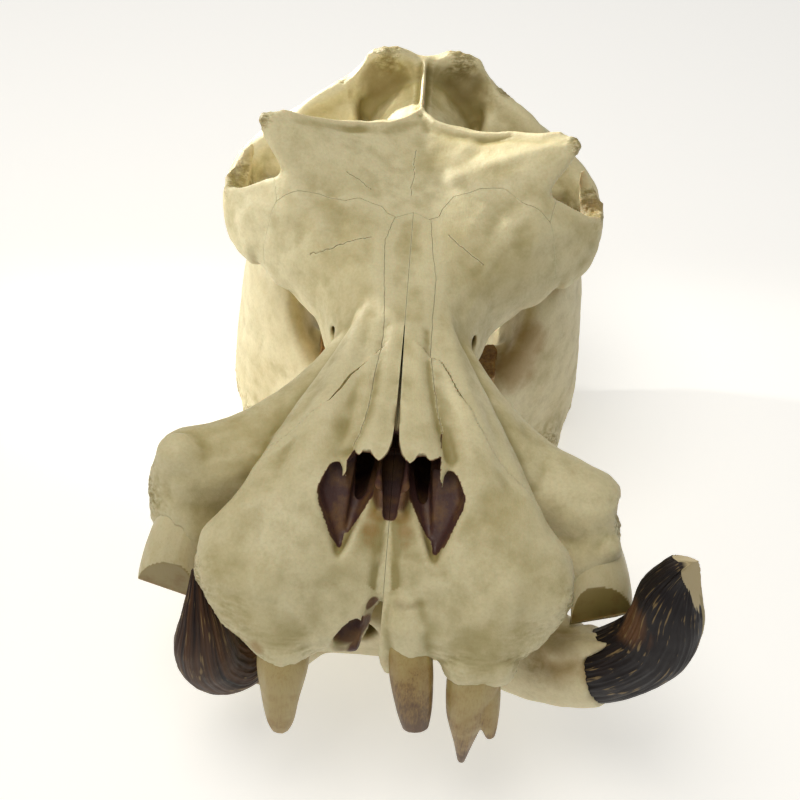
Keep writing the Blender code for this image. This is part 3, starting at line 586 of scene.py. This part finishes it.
cheek_enamel = ivory("folded molar enamel", "#C9B67C", "#A57F3E", "#694519", "#B5A678", 2.4)
crown_row = crown_row_tree(cheek_enamel)
for name, row in TOOTH_ROWS.items():
    teeth = tooth_row(name, *row)
    grow = teeth.modifiers.new("grow crowns", "NODES")
    grow.node_group = crown_row
    seed = crown_row.interface.items_tree["Seed"].identifier
    grow[seed] = 4 if name == "cheek_teeth_upper" else 9
    settle(teeth)
    corners, _ = read_surface(teeth)
    mark(teeth, "tip", unit(0.75 - np.abs(corners[:, 2] - BITE) / 40))
    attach(teeth, "root")


# The cranium
# The bones of a grown skull knit into one surface. Here the frame's ten cranial solids
# and the thin rims that hold the teeth are fused into one fine skin and softened.
GRAIN = 2.0
CRANIAL = ["braincase", "frontal"] + [
    bone + side for bone in ("nasal", "premaxilla", "maxilla", "jugal")
    for side in ("_left", "_right")]
BONE_RIMS = (
    # round the canines, and the blunt end of the right process
    ((-160, 124, 8, 17), (-176, 122, 2, 17), (-186, 120, 10, 16), (-168, 112, -8, 9)),
    ((160, 130, 24, 15), (178, 126, 26, 17), (186, 124, 36, 14), (166, 113, 12, 9)),
    ((-180, 150, 82, 19), (-188, 148, 50, 20), (-187, 136, 20, 19), (-160, 150, 60, 24)),
    # round the roots of the incisors, and the strip that runs down beside the first
    ((20, 64, 44, 19), (23, 40, 25, 21), (26, 35, 13, 20)),
    ((1, 58, 52, 4), (1, 30, 18, 4), (4, 22, -4, 4), (9, 20, -12, 5), (20, 58, 42, 8)),
    ((72, 25, 1, 22), (70, 40, 20, 20), (94, 26, 1, 21)),
    ((-77, 25, 3, 21), (-77, 40, 24, 20)),
    # round the empty socket
    ((-44, 34, 4, 12), (-28, 36, 0, 10), (-10, 38, 0, 9), (-26, 54, 32, 14)),
    # the fork where the crest meets the brow
    ((0, 560, 186, 4), (14, 524, 182, 5), (-14, 524, 182, 5)),
    # the roof over the nose, and the floor between its two openings
    ((-36, 106, 117, 5), (36, 106, 117, 5), (-26, 106, 123, 5), (26, 106, 123, 5),
     (0, 106, 127, 5), (-38, 144, 121, 5), (38, 144, 121, 5), (0, 150, 130, 5)),
    ((0, 99, 80, 4), (0, 88, 74, 4), (0, 126, 78, 4), (0, 60, 54, 4), (8, 60, 50, 6),
     (-8, 60, 50, 6)),
)
# the scroll bones inside the nose and the plates between them, on the left
PAIRED_RIMS = (
    ((40, 80, 66, 3), (55, 104, 97, 4), (50, 140, 110, 5), (34, 146, 110, 5),
     (32, 98, 76, 3), (32, 130, 92, 4), (46, 150, 80, 8)),
    ((11, 126, 92, 4), (11, 130, 116, 4), (7, 99, 86, 4), (8, 104, 104, 4)),
)
EMPTY_SOCKET = ((-25, -14, 5, 16, 14), (-25, 10, 6, 13, 12), (-25, 32, 17, 12, 11),
                (-24, 48, 32, 8, 8))
# the slit of pale bone under the nose, and the gap that opens below it
FRONT_SLIT = ((-1, 98, 82, 1), (-5.5, 54, 57.5, 1.4), (5, 54, 58, 1.4), (-1, 99, 98, 1),
              (-5.5, 54, 76, 1.4), (5, 54, 76, 1.4))
FRONT_GAP = ((4, 52), (0, 46), (-5, 36), (-7, 20), (-7, -30), (-20, -30), (-19, 20),
             (-15, 40), (-8, 50))
TOOTH_BED = ((36, 186), (80, 186), (80, 452), (36, 452))


def merged_copy(name, nodes):
    """One mesh from copies of the frame's solids, welded at their corners."""
    bm = bmesh.new()
    for node in nodes:
        bm.from_mesh(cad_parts[node].data)
    bmesh.ops.remove_doubles(bm, verts=bm.verts, dist=0.01 * MM)
    return new_piece(name, bm)


def hull(name, balls):
    """The tight skin stretched over balls given as (across, back, up, radius)."""
    bm = bmesh.new()
    for across, back, up, radius in balls:
        middle = Matrix.Translation(place(across, back, up))
        bmesh.ops.create_icosphere(bm, subdivisions=2, radius=radius * MM, matrix=middle)
    bmesh.ops.delete(bm, geom=bm.faces[:], context="FACES_ONLY")
    bmesh.ops.delete(bm, geom=bm.edges[:], context="EDGES_FACES")
    bmesh.ops.convex_hull(bm, input=bm.verts[:], use_existing_faces=False)
    buried = [vert for vert in bm.verts if not vert.link_faces]
    bmesh.ops.delete(bm, geom=buried, context="VERTS")
    return new_piece(name, bm)


def lift(bm, grown, offset):
    """Moves the corners that an extrusion has made by that many mm."""
    moved = [item for item in grown["geom"] if isinstance(item, bmesh.types.BMVert)]
    bmesh.ops.translate(bm, verts=moved, vec=Vector(offset) * MM)


def prism(name, outline, low, high, slope=0.0):
    """An outline in plan, raised from a foot that may fall backwards."""
    bm = bmesh.new()
    front = outline[0][1]
    corners = [bm.verts.new(place(x, y, low - slope * (y - front))) for x, y in outline]
    face = bm.faces.new(corners)
    grown = bmesh.ops.extrude_face_region(bm, geom=[face], use_keep_orig=True)
    lift(bm, grown, (0, 0, high - low))
    bmesh.ops.triangulate(bm, faces=bm.faces)
    return new_piece(name, bm)


def carve(body, cutters):
    tools = bpy.data.collections.new("cutters")
    for cutter in cutters:
        tools.objects.link(cutter)
    cut = body.modifiers.new("carve", "BOOLEAN")
    cut.operation = "DIFFERENCE"
    cut.solver = "MANIFOLD"
    cut.operand_type = "COLLECTION"
    cut.collection = tools
    settle(body)
    for cutter in cutters:
        bpy.data.objects.remove(cutter)
    bpy.data.collections.remove(tools)


def on_side(side, spots):
    return [(side * spot[0], *spot[1:]) for spot in spots]


def both_sides(spots):
    return on_side(-1, spots) + on_side(1, spots)


masses = [merged_copy("knit", CRANIAL)] + [hull("rim", balls) for balls in BONE_RIMS]
masses += [hull("rim", on_side(side, balls)) for balls in PAIRED_RIMS for side in (-1, 1)]
cranium = fuse(join("cranium", masses), GRAIN, 2)
hollows = [sweep("socket", EMPTY_SOCKET, (1, 0, 0), 24, 4)[0], hull("slit", FRONT_SLIT),
           prism("gap", FRONT_GAP, -120, 70)]
hollows += [prism("tooth_bed", on_side(side, TOOTH_BED), -70, -8) for side in (-1, 1)]
carve(cranium, hollows)
fuse(cranium, GRAIN, 9)


# The relief of old bone
# Living bone is smooth where muscle slid over it, and ridged, lumpy and pitted where
# tendon and lip were tied to it. The skin's corners are moved in or out for that.
EVEN_SWELL = 0.7
SWELL_SIZE = 26.0
LUMP_HEIGHT = 1.5
LUMP_SIZE = 7.5
SHALLOW_PIT = 0.8
PIT_SIZE = 5.0
WRINKLE = 0.8
WRINKLE_SIZE = 6.0


def average(values, ends, rounds):
    """Values at the corners, blended with their neighbours' in some rounds."""
    values = np.array(values, float)
    count = len(values)
    one, other = ends.T
    degree = np.maximum(np.bincount(ends.ravel(), minlength=count), 1)
    for _ in range(rounds):
        for line in values.T:
            total = np.bincount(one, line[other], count)
            total += np.bincount(other, line[one], count)
            line[:] = 0.5 * line + 0.5 * total / degree
    return values


def cloud(corners, size, octaves, seed, stretch=(1, 1, 1)):
    """Soft noise from about -1 to 1, its largest lumps that many mm across."""
    shift = Vector((seed * 17.3, seed * 5.1, seed * 9.7))
    spots = corners / (size * np.array(stretch))
    return np.array([noise.fractal(Vector(spot) + shift, 0.7, 2.1, octaves)
                     for spot in spots])


def near(corners, spots, soft=0.5):
    """1 inside any of the balls (across, back, up, radius), falling to 0 at their rim."""
    strength = np.zeros(len(corners))
    for across, back, up, radius in spots:
        away = np.linalg.norm(corners - (across, back, up), axis=1) / radius
        strength = np.maximum(strength, unit((1 - away) / soft))
    return strength * strength * (3 - 2 * strength)


def beside(corners, path):
    """How far each corner lies in plan from a path, below 0 on the path's right."""
    best = np.full(len(corners), 1e6)
    for first, second in zip(path, path[1:]):
        start = np.array(first[:2], float)
        run = np.array(second[:2], float) - start
        share = unit((corners[:, :2] - start) @ run / (run @ run))
        away = corners[:, :2] - start - share[:, None] * run
        size = np.linalg.norm(away, axis=1)
        hand = np.where(run[0] * away[:, 1] - run[1] * away[:, 0] < 0, -1, 1)
        best = np.where(size < np.abs(best), size * hand, best)
    return best


ROUGH_BONE = both_sides((
    (196, 150, 40, 46), (186, 128, 10, 34), (198, 146, 50, 24),
    (156, 64, 34, 52), (120, 40, -4, 48), (80, 30, -6, 36),
    (152, 460, 214, 26), (178, 470, 150, 30), (178, 450, 140, 26),
    (40, 654, 190, 34), (90, 650, 150, 30), (120, 650, 90, 34), (186, 560, 60, 34),
))
# lines in plan on the muzzle's top and along the back edge of the brow
NASAL_FURROWS = (
    ((-17, 262), (-20, 218), (-22, 187), (-25, 164), (-30, 145), (-36, 130)),
    ((22, 258), (25, 212), (30, 183), (35, 164), (41, 146), (45, 134)))
LIP_SUTURES = (
    ((-16, 240), (-23, 230), (-28, 225), (-42, 206), (-49, 190), (-57, 177), (-79, 159),
     (-102, 146), (-126, 118), (-150, 96), (-230, 84)),
    ((16, 240), (26, 232), (33, 229), (40, 216), (46, 203), (52, 190), (59, 181),
     (66, 165), (77, 148), (94, 134), (114, 122), (126, 116), (150, 96), (230, 84)))
BROW_EDGE = ((-131, 474), (-116, 478), (-88, 492), (-61, 503), (-31, 511), (-12, 526),
             (0, 545), (14, 522), (36, 509), (62, 501), (91, 495), (118, 478), (133, 474))
NECK_BOWLS = ((-46, 635, 156), (46, 635, 156))
BOWL_RADIUS = 36.0


def bump(away, width):
    return np.exp(-(away / width) ** 2)


def weather(piece, rough_spots):
    """Swells, lumps and pits, the last two only where the bone is rough."""
    corners, normals = read_surface(piece)
    rough = near(corners, rough_spots, 0.8)
    rise = EVEN_SWELL * cloud(corners, SWELL_SIZE, 2, 1)
    touched = rough > 0.02
    lumps = cloud(corners[touched], LUMP_SIZE, 3, 2)
    pits = cloud(corners[touched], PIT_SIZE, 2, 3)
    rise[touched] += rough[touched] * (
        LUMP_HEIGHT * lumps - SHALLOW_PIT * unit(pits - 0.15))
    write_surface(piece, corners + normals * rise[:, None])


def shape_cranium(piece):
    """Sharpens the brow and crest, hollows the neck's bowls and furrows the muzzle."""
    corners, normals = read_surface(piece)
    x, y, z = corners.T
    rise = np.zeros(len(corners))
    muzzle = unit(normals[:, 2] * 3) * unit((z - 84) / 12) * (y < 300)
    for path in NASAL_FURROWS:
        rise -= 3.2 * bump(beside(corners, path), 6) * muzzle
    for side, path in zip((-1, 1), LIP_SUTURES):
        away = beside(corners, path) * side
        fade = unit((250 - y) / 20) * unit((130 - np.abs(x)) / 30)
        step = np.where(away < 0, 1.3 * bump(away, 9), -1.2 * bump(away, 7))
        rise += step * muzzle * fade
    brow = beside(corners, BROW_EDGE)
    high = unit((z - 168) / 10) * (y > 450) * (y < 560)
    rise += high * (2.2 * bump(brow, 3.2) - 2.4 * bump(brow - 10, 6) - 1.2 * bump(brow + 10, 6))
    lips = near(corners, both_sides(((118, 50, 18, 60), (70, 30, 0, 46))), 0.9)
    lips *= normals[:, 1] < 0.2
    touched = lips > 0.02
    folds = cloud(corners[touched], WRINKLE_SIZE, 3, 6, (4, 1, 0.5))
    rise[touched] += WRINKLE * lips[touched] * folds
    corners += normals * rise[:, None]
    for bowl in NECK_BOWLS:
        away = np.linalg.norm((corners - bowl)[:, [0, 2]], axis=1) / BOWL_RADIUS
        facing = unit(-normals[:, 1] * 3 - 0.6) * (y > 615)
        corners[:, 1] += 5 * facing * unit(1 - away ** 3)
    blade = unit((z - 158) / 10) * unit((y - 540) / 14)
    blade *= unit((652 - y) / 10) * (np.abs(x) < 9)
    corners[:, 0] *= 1 - 0.5 * blade
    write_surface(piece, corners)


shape_cranium(cranium)
weather(cranium, ROUGH_BONE)


# The nose
# Two openings shaped like drops lead into the nasal passages, with an open trough
# between thin upright plates. Cleaning has left the nasals' tips thin and ragged.
NASAL_FOOT = 131.0
NASAL_FALL = 0.09
NOSE_HOLLOWS = (
    # the shallow front over the scroll bones
    ((38, 83, 72, 1.5), (38, 78, 71, 1.5), (54, 110, 99, 1.5), (48, 136, 116, 2),
     (26, 138, 116, 2), (20, 107, 98, 1.5), (40, 54, 90, 2), (58, 70, 118, 2),
     (56, 108, 112, 2), (22, 70, 112, 2)),
    # the dark passage beside the middle plates
    ((17, 106, 98, 2), (17, 112, 110, 2), (15, 124, 96, 2), (15, 124, 124, 2),
     (25, 104, 88, 2), (26, 128, 90, 3), (26, 150, 96, 4), (15, 160, 98, 2),
     (15, 160, 118, 2), (27, 150, 118, 4), (33, 90, 76, 2)),
    ((24, 150, 94, 9), (26, 200, 90, 10), (22, 262, 88, 9), (20, 310, 88, 6)),
)
NOSE_TROUGH = ((3.5, 97.5, 85, 1.5), (4.5, 90, 112, 1.5), (6, 125, 84, 2),
               (7.5, 125, 124, 2), (8, 165, 88, 2), (8, 165, 116, 2))
NASAL_GAP = ((12, 104), (7.5, 121), (4.6, 130), (3, 137), (2.2, 150), (1.5, 170),
             (1, 210), (0.4, 262))
NASAL_UNDERCUT = ((-37, 92), (37, 92), (37, 156), (-23, 156), (-26, 145), (-31, 132),
                  (-37, 122))
RAGGED_TIPS = ((40, 96), (39.5, 109), (37, 111), (31, 120), (25, 127), (19, 126.6),
               (16, 122), (12.4, 118), (9, 121), (6, 126))


def wander(path, reach, pace, seed):
    """A path in plan with points every few mm, each shifted a little sideways."""
    rows = []
    for first, second in zip(path, path[1:]):
        a = Vector(first)
        b = Vector(second)
        steps = max(1, round((b - a).length / pace))
        aside = Vector((-(b - a)[1], (b - a)[0])).normalized()
        for step in range(steps):
            spot = a.lerp(b, step / steps)
            shift = noise.noise(Vector((spot[0] / 4, spot[1] / 4, seed))) * reach
            rows.append(tuple(spot + aside * shift * (step > 0)))
    rows.append(tuple(path[-1]))
    return rows


def surface_tree(pieces):
    """The triangles of some meshes, to measure from and cast rays at."""
    bm = bmesh.new()
    for piece in pieces:
        bm.from_mesh(piece.data)
    tree = BVHTree.FromBMesh(bm)
    bm.free()
    return tree


parts = [hull("hollow", on_side(side, balls)) for balls in NOSE_HOLLOWS for side in (-1, 1)]
parts += [hull("trough", both_sides(NOSE_TROUGH)),
          prism("under_nasals", NASAL_UNDERCUT, 112, NASAL_FOOT + 1.2, NASAL_FALL)]
gap = on_side(-1, NASAL_GAP) + list(reversed(NASAL_GAP))
nose = [fuse(join("nose_hollows", parts), 1.6, 1),
        prism("nasal_gap", gap, NASAL_FOOT - 4, 240, 0.06)]
for side in (-1, 1):
    ragged = wander(on_side(side, RAGGED_TIPS), 1.2, 1.6, side)
    nose.append(prism("ragged_tip", [(0, 96), *ragged, (0, 127)], 117, 240))
NOSE_WALLS = surface_tree(nose[:1])


# The seams between the bones
# Sutures are thin, wandering cracks. Those of the muzzle stay open longest, and one
# stands wide where the right premaxilla has sprung away. Drying has split the brow.
SEAM = 0.3
PALE_SEAM = 0.5
SPLIT_DEPTH = 2.5
FACE_LEDGE = 100.0
FACE_FOOT = ((404, FACE_LEDGE + 0.1), (430, 60), (452, 20), (452, -90))
MIDDLE_SUTURE = ((-40, -90), (-40, 250), (404.5, 250), *FACE_FOOT)
CROWN_SUTURE = ((538, 250), (534, 176), (508, 150), (494, 100), (474, 60), (451, 20))
HIDDEN_SUTURE = 240.0
BROW_SUTURES = (
    ((-15.6, 395), (-24, 398), (-30, 405.5), (-39, 407), (-51, 411), (-64, 405.5),
     (-89, 409), (-107, 407), (-129.6, 404)),
    ((15.6, 395), (24, 398), (27, 408), (37, 424), (61, 430), (83, 426), (106, 412),
     (129.6, 404)))
NASAL_EDGES = (
    ((-42, 100), (-39, 125), (-34, 132), (-29, 145), (-26, 160), (-24, 176), (-22, 209),
     (-18, 237), (-18, 262), (-20, 300), (-23, 339), (-24, 365), (-17, 394)),
    ((45, 100), (45, 136), (40, 149), (35, 166), (31, 186), (28, 206), (24, 235),
     (24, 285), (25, 320), (21, 350), (19, 372), (17, 394)))
JUGAL_EDGE = ((129, 404), (146, 382), (270, 370), (270, 530), (206, 538), (150, 566),
              (139, 540), (139, 446))
# the sprung sutures: across, back, half width of the opening
SPRUNG = (((-26, 227, 0.2), (-35, 216, 0.8), (-42, 206, 1.1), (-49, 190, 1.1),
           (-57, 177, 0.7), (-68, 168, 0.2)),
          ((26, 233, 0.2), (33, 229, 0.5), (40, 216, 0.7), (46, 203, 0.6), (59, 181, 0.2)))
# drying cracks: how wide, then places on the surface along them
SPLITS = (
    (0.8, (-93, 361, 137), (-74, 357, 149), (-56, 361, 156), (-37, 366, 159)),
    (0.8, (34, 376, 161), (45, 364, 159), (57, 357, 154), (68, 353, 148)),
    (0.6, (-66, 434, 182), (-54, 431, 177), (-42, 424, 171)),
    (0.4, (-3.4, 425, 167), (-4, 438, 170), (-2, 452, 172), (-3, 468, 176),
     (-2, 483, 180)),
)


def thicken(piece, thick):
    body = piece.modifiers.new("thickness", "SOLIDIFY")
    body.thickness = thick * MM
    body.offset = 0.0
    return settle(piece)


def wall(name, path, offset, thick=SEAM):
    """A line of places swept along a direction and given a thickness."""
    bm = bmesh.new()
    line = [bm.verts.new(place(*spot)) for spot in path]
    edges = [bm.edges.new(pair) for pair in zip(line, line[1:])]
    lift(bm, bmesh.ops.extrude_edge_only(bm, edges=edges), offset)
    return thicken(new_piece(name, bm), thick)


def loose_parts(body):
    bpy.ops.object.select_all(action="DESELECT")
    bpy.context.view_layer.objects.active = body
    body.select_set(True)
    bpy.ops.mesh.separate(type="LOOSE")
    return list(bpy.context.selected_objects)


ledge = (FACE_LEDGE - SEAM / 2, FACE_LEDGE + SEAM / 2)
top = NASAL_FOOT - NASAL_FALL * (HIDDEN_SUTURE - 100)
bm = bmesh.new()
bm.faces.new([bm.verts.new(place(0, y, z)) for y, z in MIDDLE_SUTURE])
walls = [
    wall("face_foot", [(-260, y, z) for y, z in FACE_FOOT], (520, 0, 0)),
    prism("nose_ledge", [(-29, 394), (29, 394), (29, 404.2), (-29, 404.2)], *ledge),
    wall("nose_root", [(-16.6, 395, FACE_LEDGE), (16.6, 395, FACE_LEDGE)], (0, 0, 5)),
    wall("crown_suture", [(-136, y, z) for y, z in CROWN_SUTURE], (272, 0, 0)),
    thicken(new_piece("middle_suture", bm), SEAM)]
for side, lip, nasal, brow in zip((-1, 1), LIP_SUTURES, NASAL_EDGES, BROW_SUTURES):
    lip_line = [(x, y, -60) for x, y in wander(lip, 1.6, 4.0, 3 + side)]
    hidden = [(x, HIDDEN_SUTURE, -60) for x in (0, side * 16.3)]
    nasal_line = [(0, 100), *wander(nasal, 1.0, 5.0, 8 + side), (0, 404)]
    brow_foot = [(side * 26, 403.8)] + [(x, y + 0.2) for x, y in brow[2:]]
    walls += [
        wall("lip_suture", lip_line, (0, 0, 260)),
        wall("hidden_suture", hidden, (0, 0, top + 60)),
        thicken(prism("nasal_suture", nasal_line, NASAL_FOOT, 260, NASAL_FALL), PALE_SEAM),
        wall("brow_suture", [(x, y, FACE_LEDGE) for x, y in brow], (0, 0, 160), 0.5),
        prism("brow_ledge", brow_foot, *ledge),
        thicken(prism("jugal_suture", on_side(side, JUGAL_EDGE), -80, 186), SEAM)]
for side, rows in zip((1, -1), SPRUNG):
    outline = [(x + half, y - side * half) for x, y, half in rows]
    outline += [(x - half, y + side * half) for x, y, half in reversed(rows)]
    walls.append(prism("sprung_suture", outline, 60, 200))
for wide, *path in SPLITS:
    start = path[0][:2]
    reach = [math.dist(spot[:2], start) for spot in path]
    heights = [spot[2] - SPLIT_DEPTH for spot in path]
    line = [(x, y, np.interp(math.dist((x, y), start), reach, heights))
            for x, y in wander([spot[:2] for spot in path], 1.5, 3.0, 5)]
    walls.append(wall("split", line, (0, 0, 24), wide))
carve(cranium, walls + nose)

# each bone is the loose piece whose box is nearest to its solid's
pieces = loose_parts(cranium)
bones = {}
for node in CRANIAL:
    low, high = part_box(node)
    bones[node] = min(pieces, key=lambda piece: (
        (Vector(piece.bound_box[0]) - low).length
        + (Vector(piece.bound_box[6]) - high).length))
for piece in pieces:
    if piece not in bones.values():
        bpy.data.objects.remove(piece)


# The finish of cleaned bone
# Boiled and dried bone is cream where it is proud and worn. Its hollows are olive and brown,
# partly from grease and soil and partly as painted shade, and the slit under the nose is
# painted pale as painted light. Shelter is how much of the sky a spot cannot see.
SHELTER_REACH = 120.0
STAND_OFF = 3.5
SAMPLE_PACE = 12
RAYS = 20
MOTTLE = 90.0
BLOTCH = 22.0
BONE_GRAIN = 3.0
PORE = 2.4
FIBRE = 1.2
CREASE = 3.0
STAINS = both_sides(((11, 97, 89, 14), (14, 89, 80, 14), (16, 81, 72, 12))) + [
    (150, 458, 150, 40), (180, 470, 130, 34), (-97, 14, 13, 12), (123, 420, -37, 60),
    (137, 440, -20, 40), (10, 26, -4, 16), (-26, 44, 14, 24), (160, 66, -50, 44),
    (182, 50, -40, 24)]
# the slit under the nose, where the shelter's brown is left off so that it is painted pale as
# painted light
LIT_SLIT_SPOTS = ((0, 78, 70, 16), (0, 62, 60, 14))
SOCKET_WALLS = ((-25, 12, 4, 22), (-25, 34, 16, 19), (-15, 38, 16, 18), (-13, 26, -2, 18),
                (-9, 48, 38, 9))
# broad zones of olive tone and painted shade on the lower muzzle and beside the nose
OLIVE_ZONES = both_sides(((32, 84, 74, 56), (72, 28, 14, 58)))
NOSE_PLATES = both_sides(((10, 104, 104, 17), (11, 120, 112, 14)))
# how far back the slit under the nose starts and ends, and its half width there
SLIT_EDGE = ((54, 98), (5.5, 1))


def sky_rays():
    """Even directions over a sphere."""
    golden = math.pi * (3 - math.sqrt(5))
    for index in range(RAYS * 2):
        up = 1 - (index + 0.5) / RAYS
        ray = Vector((math.sqrt(1 - up * up), 0, up))
        yield Matrix.Rotation(golden * index, 3, "Z") @ ray


SOLIDS = surface_tree(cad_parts.values())
RAY_FAN = list(sky_rays())


def shelter(corners, normals, ends):
    """How closed in each corner is, from rays cast at every few corners."""
    seen = np.zeros((len(corners), 2))
    for index in range(0, len(corners), SAMPLE_PACE):
        normal = Vector(normals[index])
        start = place(*corners[index]) + normal * STAND_OFF * MM
        rays = [ray for ray in RAY_FAN if ray.dot(normal) > 0.15]
        hits = [ray for ray in rays
                if SOLIDS.ray_cast(start, ray, SHELTER_REACH * MM)[0] is not None]
        seen[index] = (len(hits) / max(len(rays), 1), 1)
    closed, weight = average(seen, ends, 14).T
    return closed / np.maximum(weight, 1e-6)


def nose_lining(corners):
    """1 on the walls of the nose and the empty socket, 0 on the bone round them."""
    x, y, z = np.abs(corners[:, 0]), corners[:, 1], corners[:, 2]
    inside = (x < 38) & (y > 114) & (y < 340) & (z > 62) & (z < np.where(y > 122, 118, 104))
    lining = np.maximum(inside, 0.8 * near(corners, NOSE_PLATES))
    lining = np.maximum(lining, near(corners, SOCKET_WALLS))
    front = (x < 64) & (y > 40) & (y < 180) & (z > 60) & (z < 134)
    for index in np.nonzero(front)[0]:
        if NOSE_WALLS.find_nearest(place(*corners[index]), 0.25 * MM)[0] is not None:
            lining[index] = 1
    return lining


def paint_bone(piece, rough_spots):
    """Marks how sheltered, hollow, stained and rough each corner is, and so where shade and
    light are painted.
    """
    corners, normals = read_surface(piece)
    ends = pull(piece.data.edges, "vertices", 2, np.int32)
    fine = ((average(corners, ends, 6) - corners) * normals).sum(axis=1)
    broad = ((average(corners, ends, 60) - corners) * normals).sum(axis=1)
    closed = shelter(corners, normals, ends)
    # the shelter browns recesses, partly for soil and partly as painted shade; it is left off
    # at the slit under the nose
    mark(piece, "shelter", closed * (1 - near(corners, LIT_SLIT_SPOTS)))
    # hollow: painted olive shade in concave places and the olive zones, pale on proud, worn
    # edges
    hollow = 0.5 + fine * 0.5 + broad * 0.2 + 0.3 * near(corners, OLIVE_ZONES, 0.9)
    x, y, z = corners.T
    # painted shade along the furrows beside the nasals
    on_top = (normals[:, 2] > 0.3) & (z > 96) & (y < 330)
    for path in NASAL_FURROWS:
        hollow += 0.35 * bump(beside(corners, path), 6) * on_top
    # the slit under the nose: painted light on its floor and painted shade along its sides
    edge = np.abs(x + 0.5) - np.interp(y, *SLIT_EDGE)
    slit = (y > 52) & (y < 100) & (z > 40) & (z < 100)
    hollow += slit * (0.5 * bump(edge - 4, 4) - 0.8 * unit(0.5 - edge / 3))
    mark(piece, "hollow", unit(hollow))
    mark(piece, "stain", near(corners, STAINS, 0.9))
    mark(piece, "rough", near(corners, rough_spots, 0.8))
    mark(piece, "lining", nose_lining(corners))


def bone_finish(name, pale, mid, olive, brown):
    """Matt bone with mottling, stain and painted shade in its hollows, pores and fine drying
    lines.
    """
    material, tree = new_material(name)
    where = add(tree, "ShaderNodeTexCoord", output="Object")
    drawn, pressed = (add(tree, "ShaderNodeMapping", {"Vector": where, "Scale": scale})
                      for scale in ((1.0, 0.12, 1.0), (0.2, 1.0, 1.0)))
    broad, blotch, grain, fibre, crease = (
        add(tree, "ShaderNodeTexNoise", {
            "Vector": spot, "Scale": 1 / (size * MM), "Detail": detail, "Roughness": rough})
        for spot, size, detail, rough in (
            (where, MOTTLE, 3, 0.5), (where, BLOTCH, 5, 0.6), (where, BONE_GRAIN, 6, 0.7),
            (drawn, FIBRE, 4, 0.5), (pressed, CREASE, 3, 0.5)))
    pores = add(tree, "ShaderNodeTexVoronoi", {"Vector": where, "Scale": 1 / (PORE * MM)})
    hollow, closed, stain, rough, lining = (
        add(tree, "ShaderNodeAttribute", output="Fac", attribute_name=name)
        for name in ("hollow", "shelter", "stain", "rough", "lining"))
    soil_and_shade, amber, speck, folds, dusk, fine = (
        add(tree, "ShaderNodeMath", parts, operation=operation)
        for operation, *parts in (
            ("MULTIPLY_ADD", blotch, 0.9, closed), ("MULTIPLY_ADD", blotch, 0.8, stain),
            ("SUBTRACT", rough, pores), ("MULTIPLY", rough, crease),
            ("MULTIPLY", lining, blotch), ("ADD", grain, fibre)))
    # olive by hollow is painted shade in concave places and furrows, pale by low hollow is worn
    # proud edges and painted light in the slit, and the brown from shelter is soil and painted
    # shade
    colour = tinted(tree, pale, (
        (broad, 0.36, 0.64, 0.8, mid), (blotch, 0.45, 0.72, 0.45, olive),
        (hollow, 0.5, 0.95, 0.8, olive), (hollow, 0.5, 0.15, 0.7, pale),
        (folds, 0.34, 0.52, 0.75, olive), (soil_and_shade, 0.85, 1.5, 0.42, brown),
        (amber, 0.7, 1.3, 0.55, "#94691A"), (speck, 0.3, 0.7, 0.4, "#6B5530"),
        (grain, 0.4, 0.7, 0.18, olive), (lining, 0.3, 0.8, 1.0, "#6E4E2C"),
        (dusk, 0.38, 0.56, 0.85, "#432629")))
    lines = add(tree, "ShaderNodeMath", (folds, 2.5, fine), operation="MULTIPLY_ADD")
    coat(tree, lines, 0.8, 0.3, grain, (0.46, 0.7), {
        "Base Color": colour, "IOR": 1.53, "Subsurface Weight": 0.1,
        "Subsurface Scale": 0.008})
    return material


def finish_bone(piece, node, material, rough_spots):
    piece.name = "bone_" + node
    dress(piece, material)
    piece.data.set_sharp_from_angle(angle=math.radians(55))
    paint_bone(piece, rough_spots)
    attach(piece, "root")
    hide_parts(node)


dry_bone = bone_finish("dry cleaned bone", "#DAD0A8", "#BAAC7A", "#8E8046", "#7A6236")
for node, piece in bones.items():
    finish_bone(piece, node, dry_bone, ROUGH_BONE)


# The lower jaw
# One heavy bone: a square chin, two long bodies, and deep angles that flare outwards.
# It carries the whole skull on its chin and on the feet of both angles.
JAW_GRAIN = 3.1
TUSK_RIM = 4.5
ROUGH_JAW = both_sides((
    (176, 450, -186, 40), (196, 560, -180, 50), (190, 600, -110, 40), (150, 70, -70, 40),
    (60, 90, -80, 30), (186, 520, -200, 60),
))
# the tongues of bone that reach up between the left tusk and the canine
SOCKET_TONGUES = (((150, 72, -44, 12), (188, 74, -28, 7), (207, 72, -20, 4)),
                  ((150, 60, -58, 12), (170, 56, -46, 8), (180, 50, -42, 5)))

rim_rows = [(*row[:3], row[3] + TUSK_RIM, row[4] + TUSK_RIM)
            for row in (*LOWER_TUSKS["tusk_left"][1:3], (193, 67, -57, 30, 30))]
masses = [merged_copy("jaw", ["mandible"]), sweep("rim", rim_rows, (0, 1, 0), 40, 8)[0]]
masses += [hull("tongue", balls) for balls in SOCKET_TONGUES]
mandible = fuse(join("mandible", masses), JAW_GRAIN, 1)
beds = [[(side * x + JAW_ASIDE, y) for x, y in TOOTH_BED] for side in (-1, 1)]
carve(mandible, [prism("tooth_bed", bed, -50, 0) for bed in beds])
fuse(mandible, JAW_GRAIN, 5)
weather(mandible, ROUGH_JAW)
corners, _ = read_surface(mandible)
corners[:, 2] = np.maximum(corners[:, 2], -PALATE_UP)
write_surface(mandible, corners)
parts = sorted(loose_parts(mandible), key=lambda part: len(part.data.vertices))
for scrap in parts[:-1]:
    bpy.data.objects.remove(scrap)
jaw_bone = bone_finish("pale jaw bone", "#DED3AC", "#C5B78A", "#9A8B55", "#7A6234")
finish_bone(parts[-1], "mandible", jaw_bone, ROUGH_JAW)
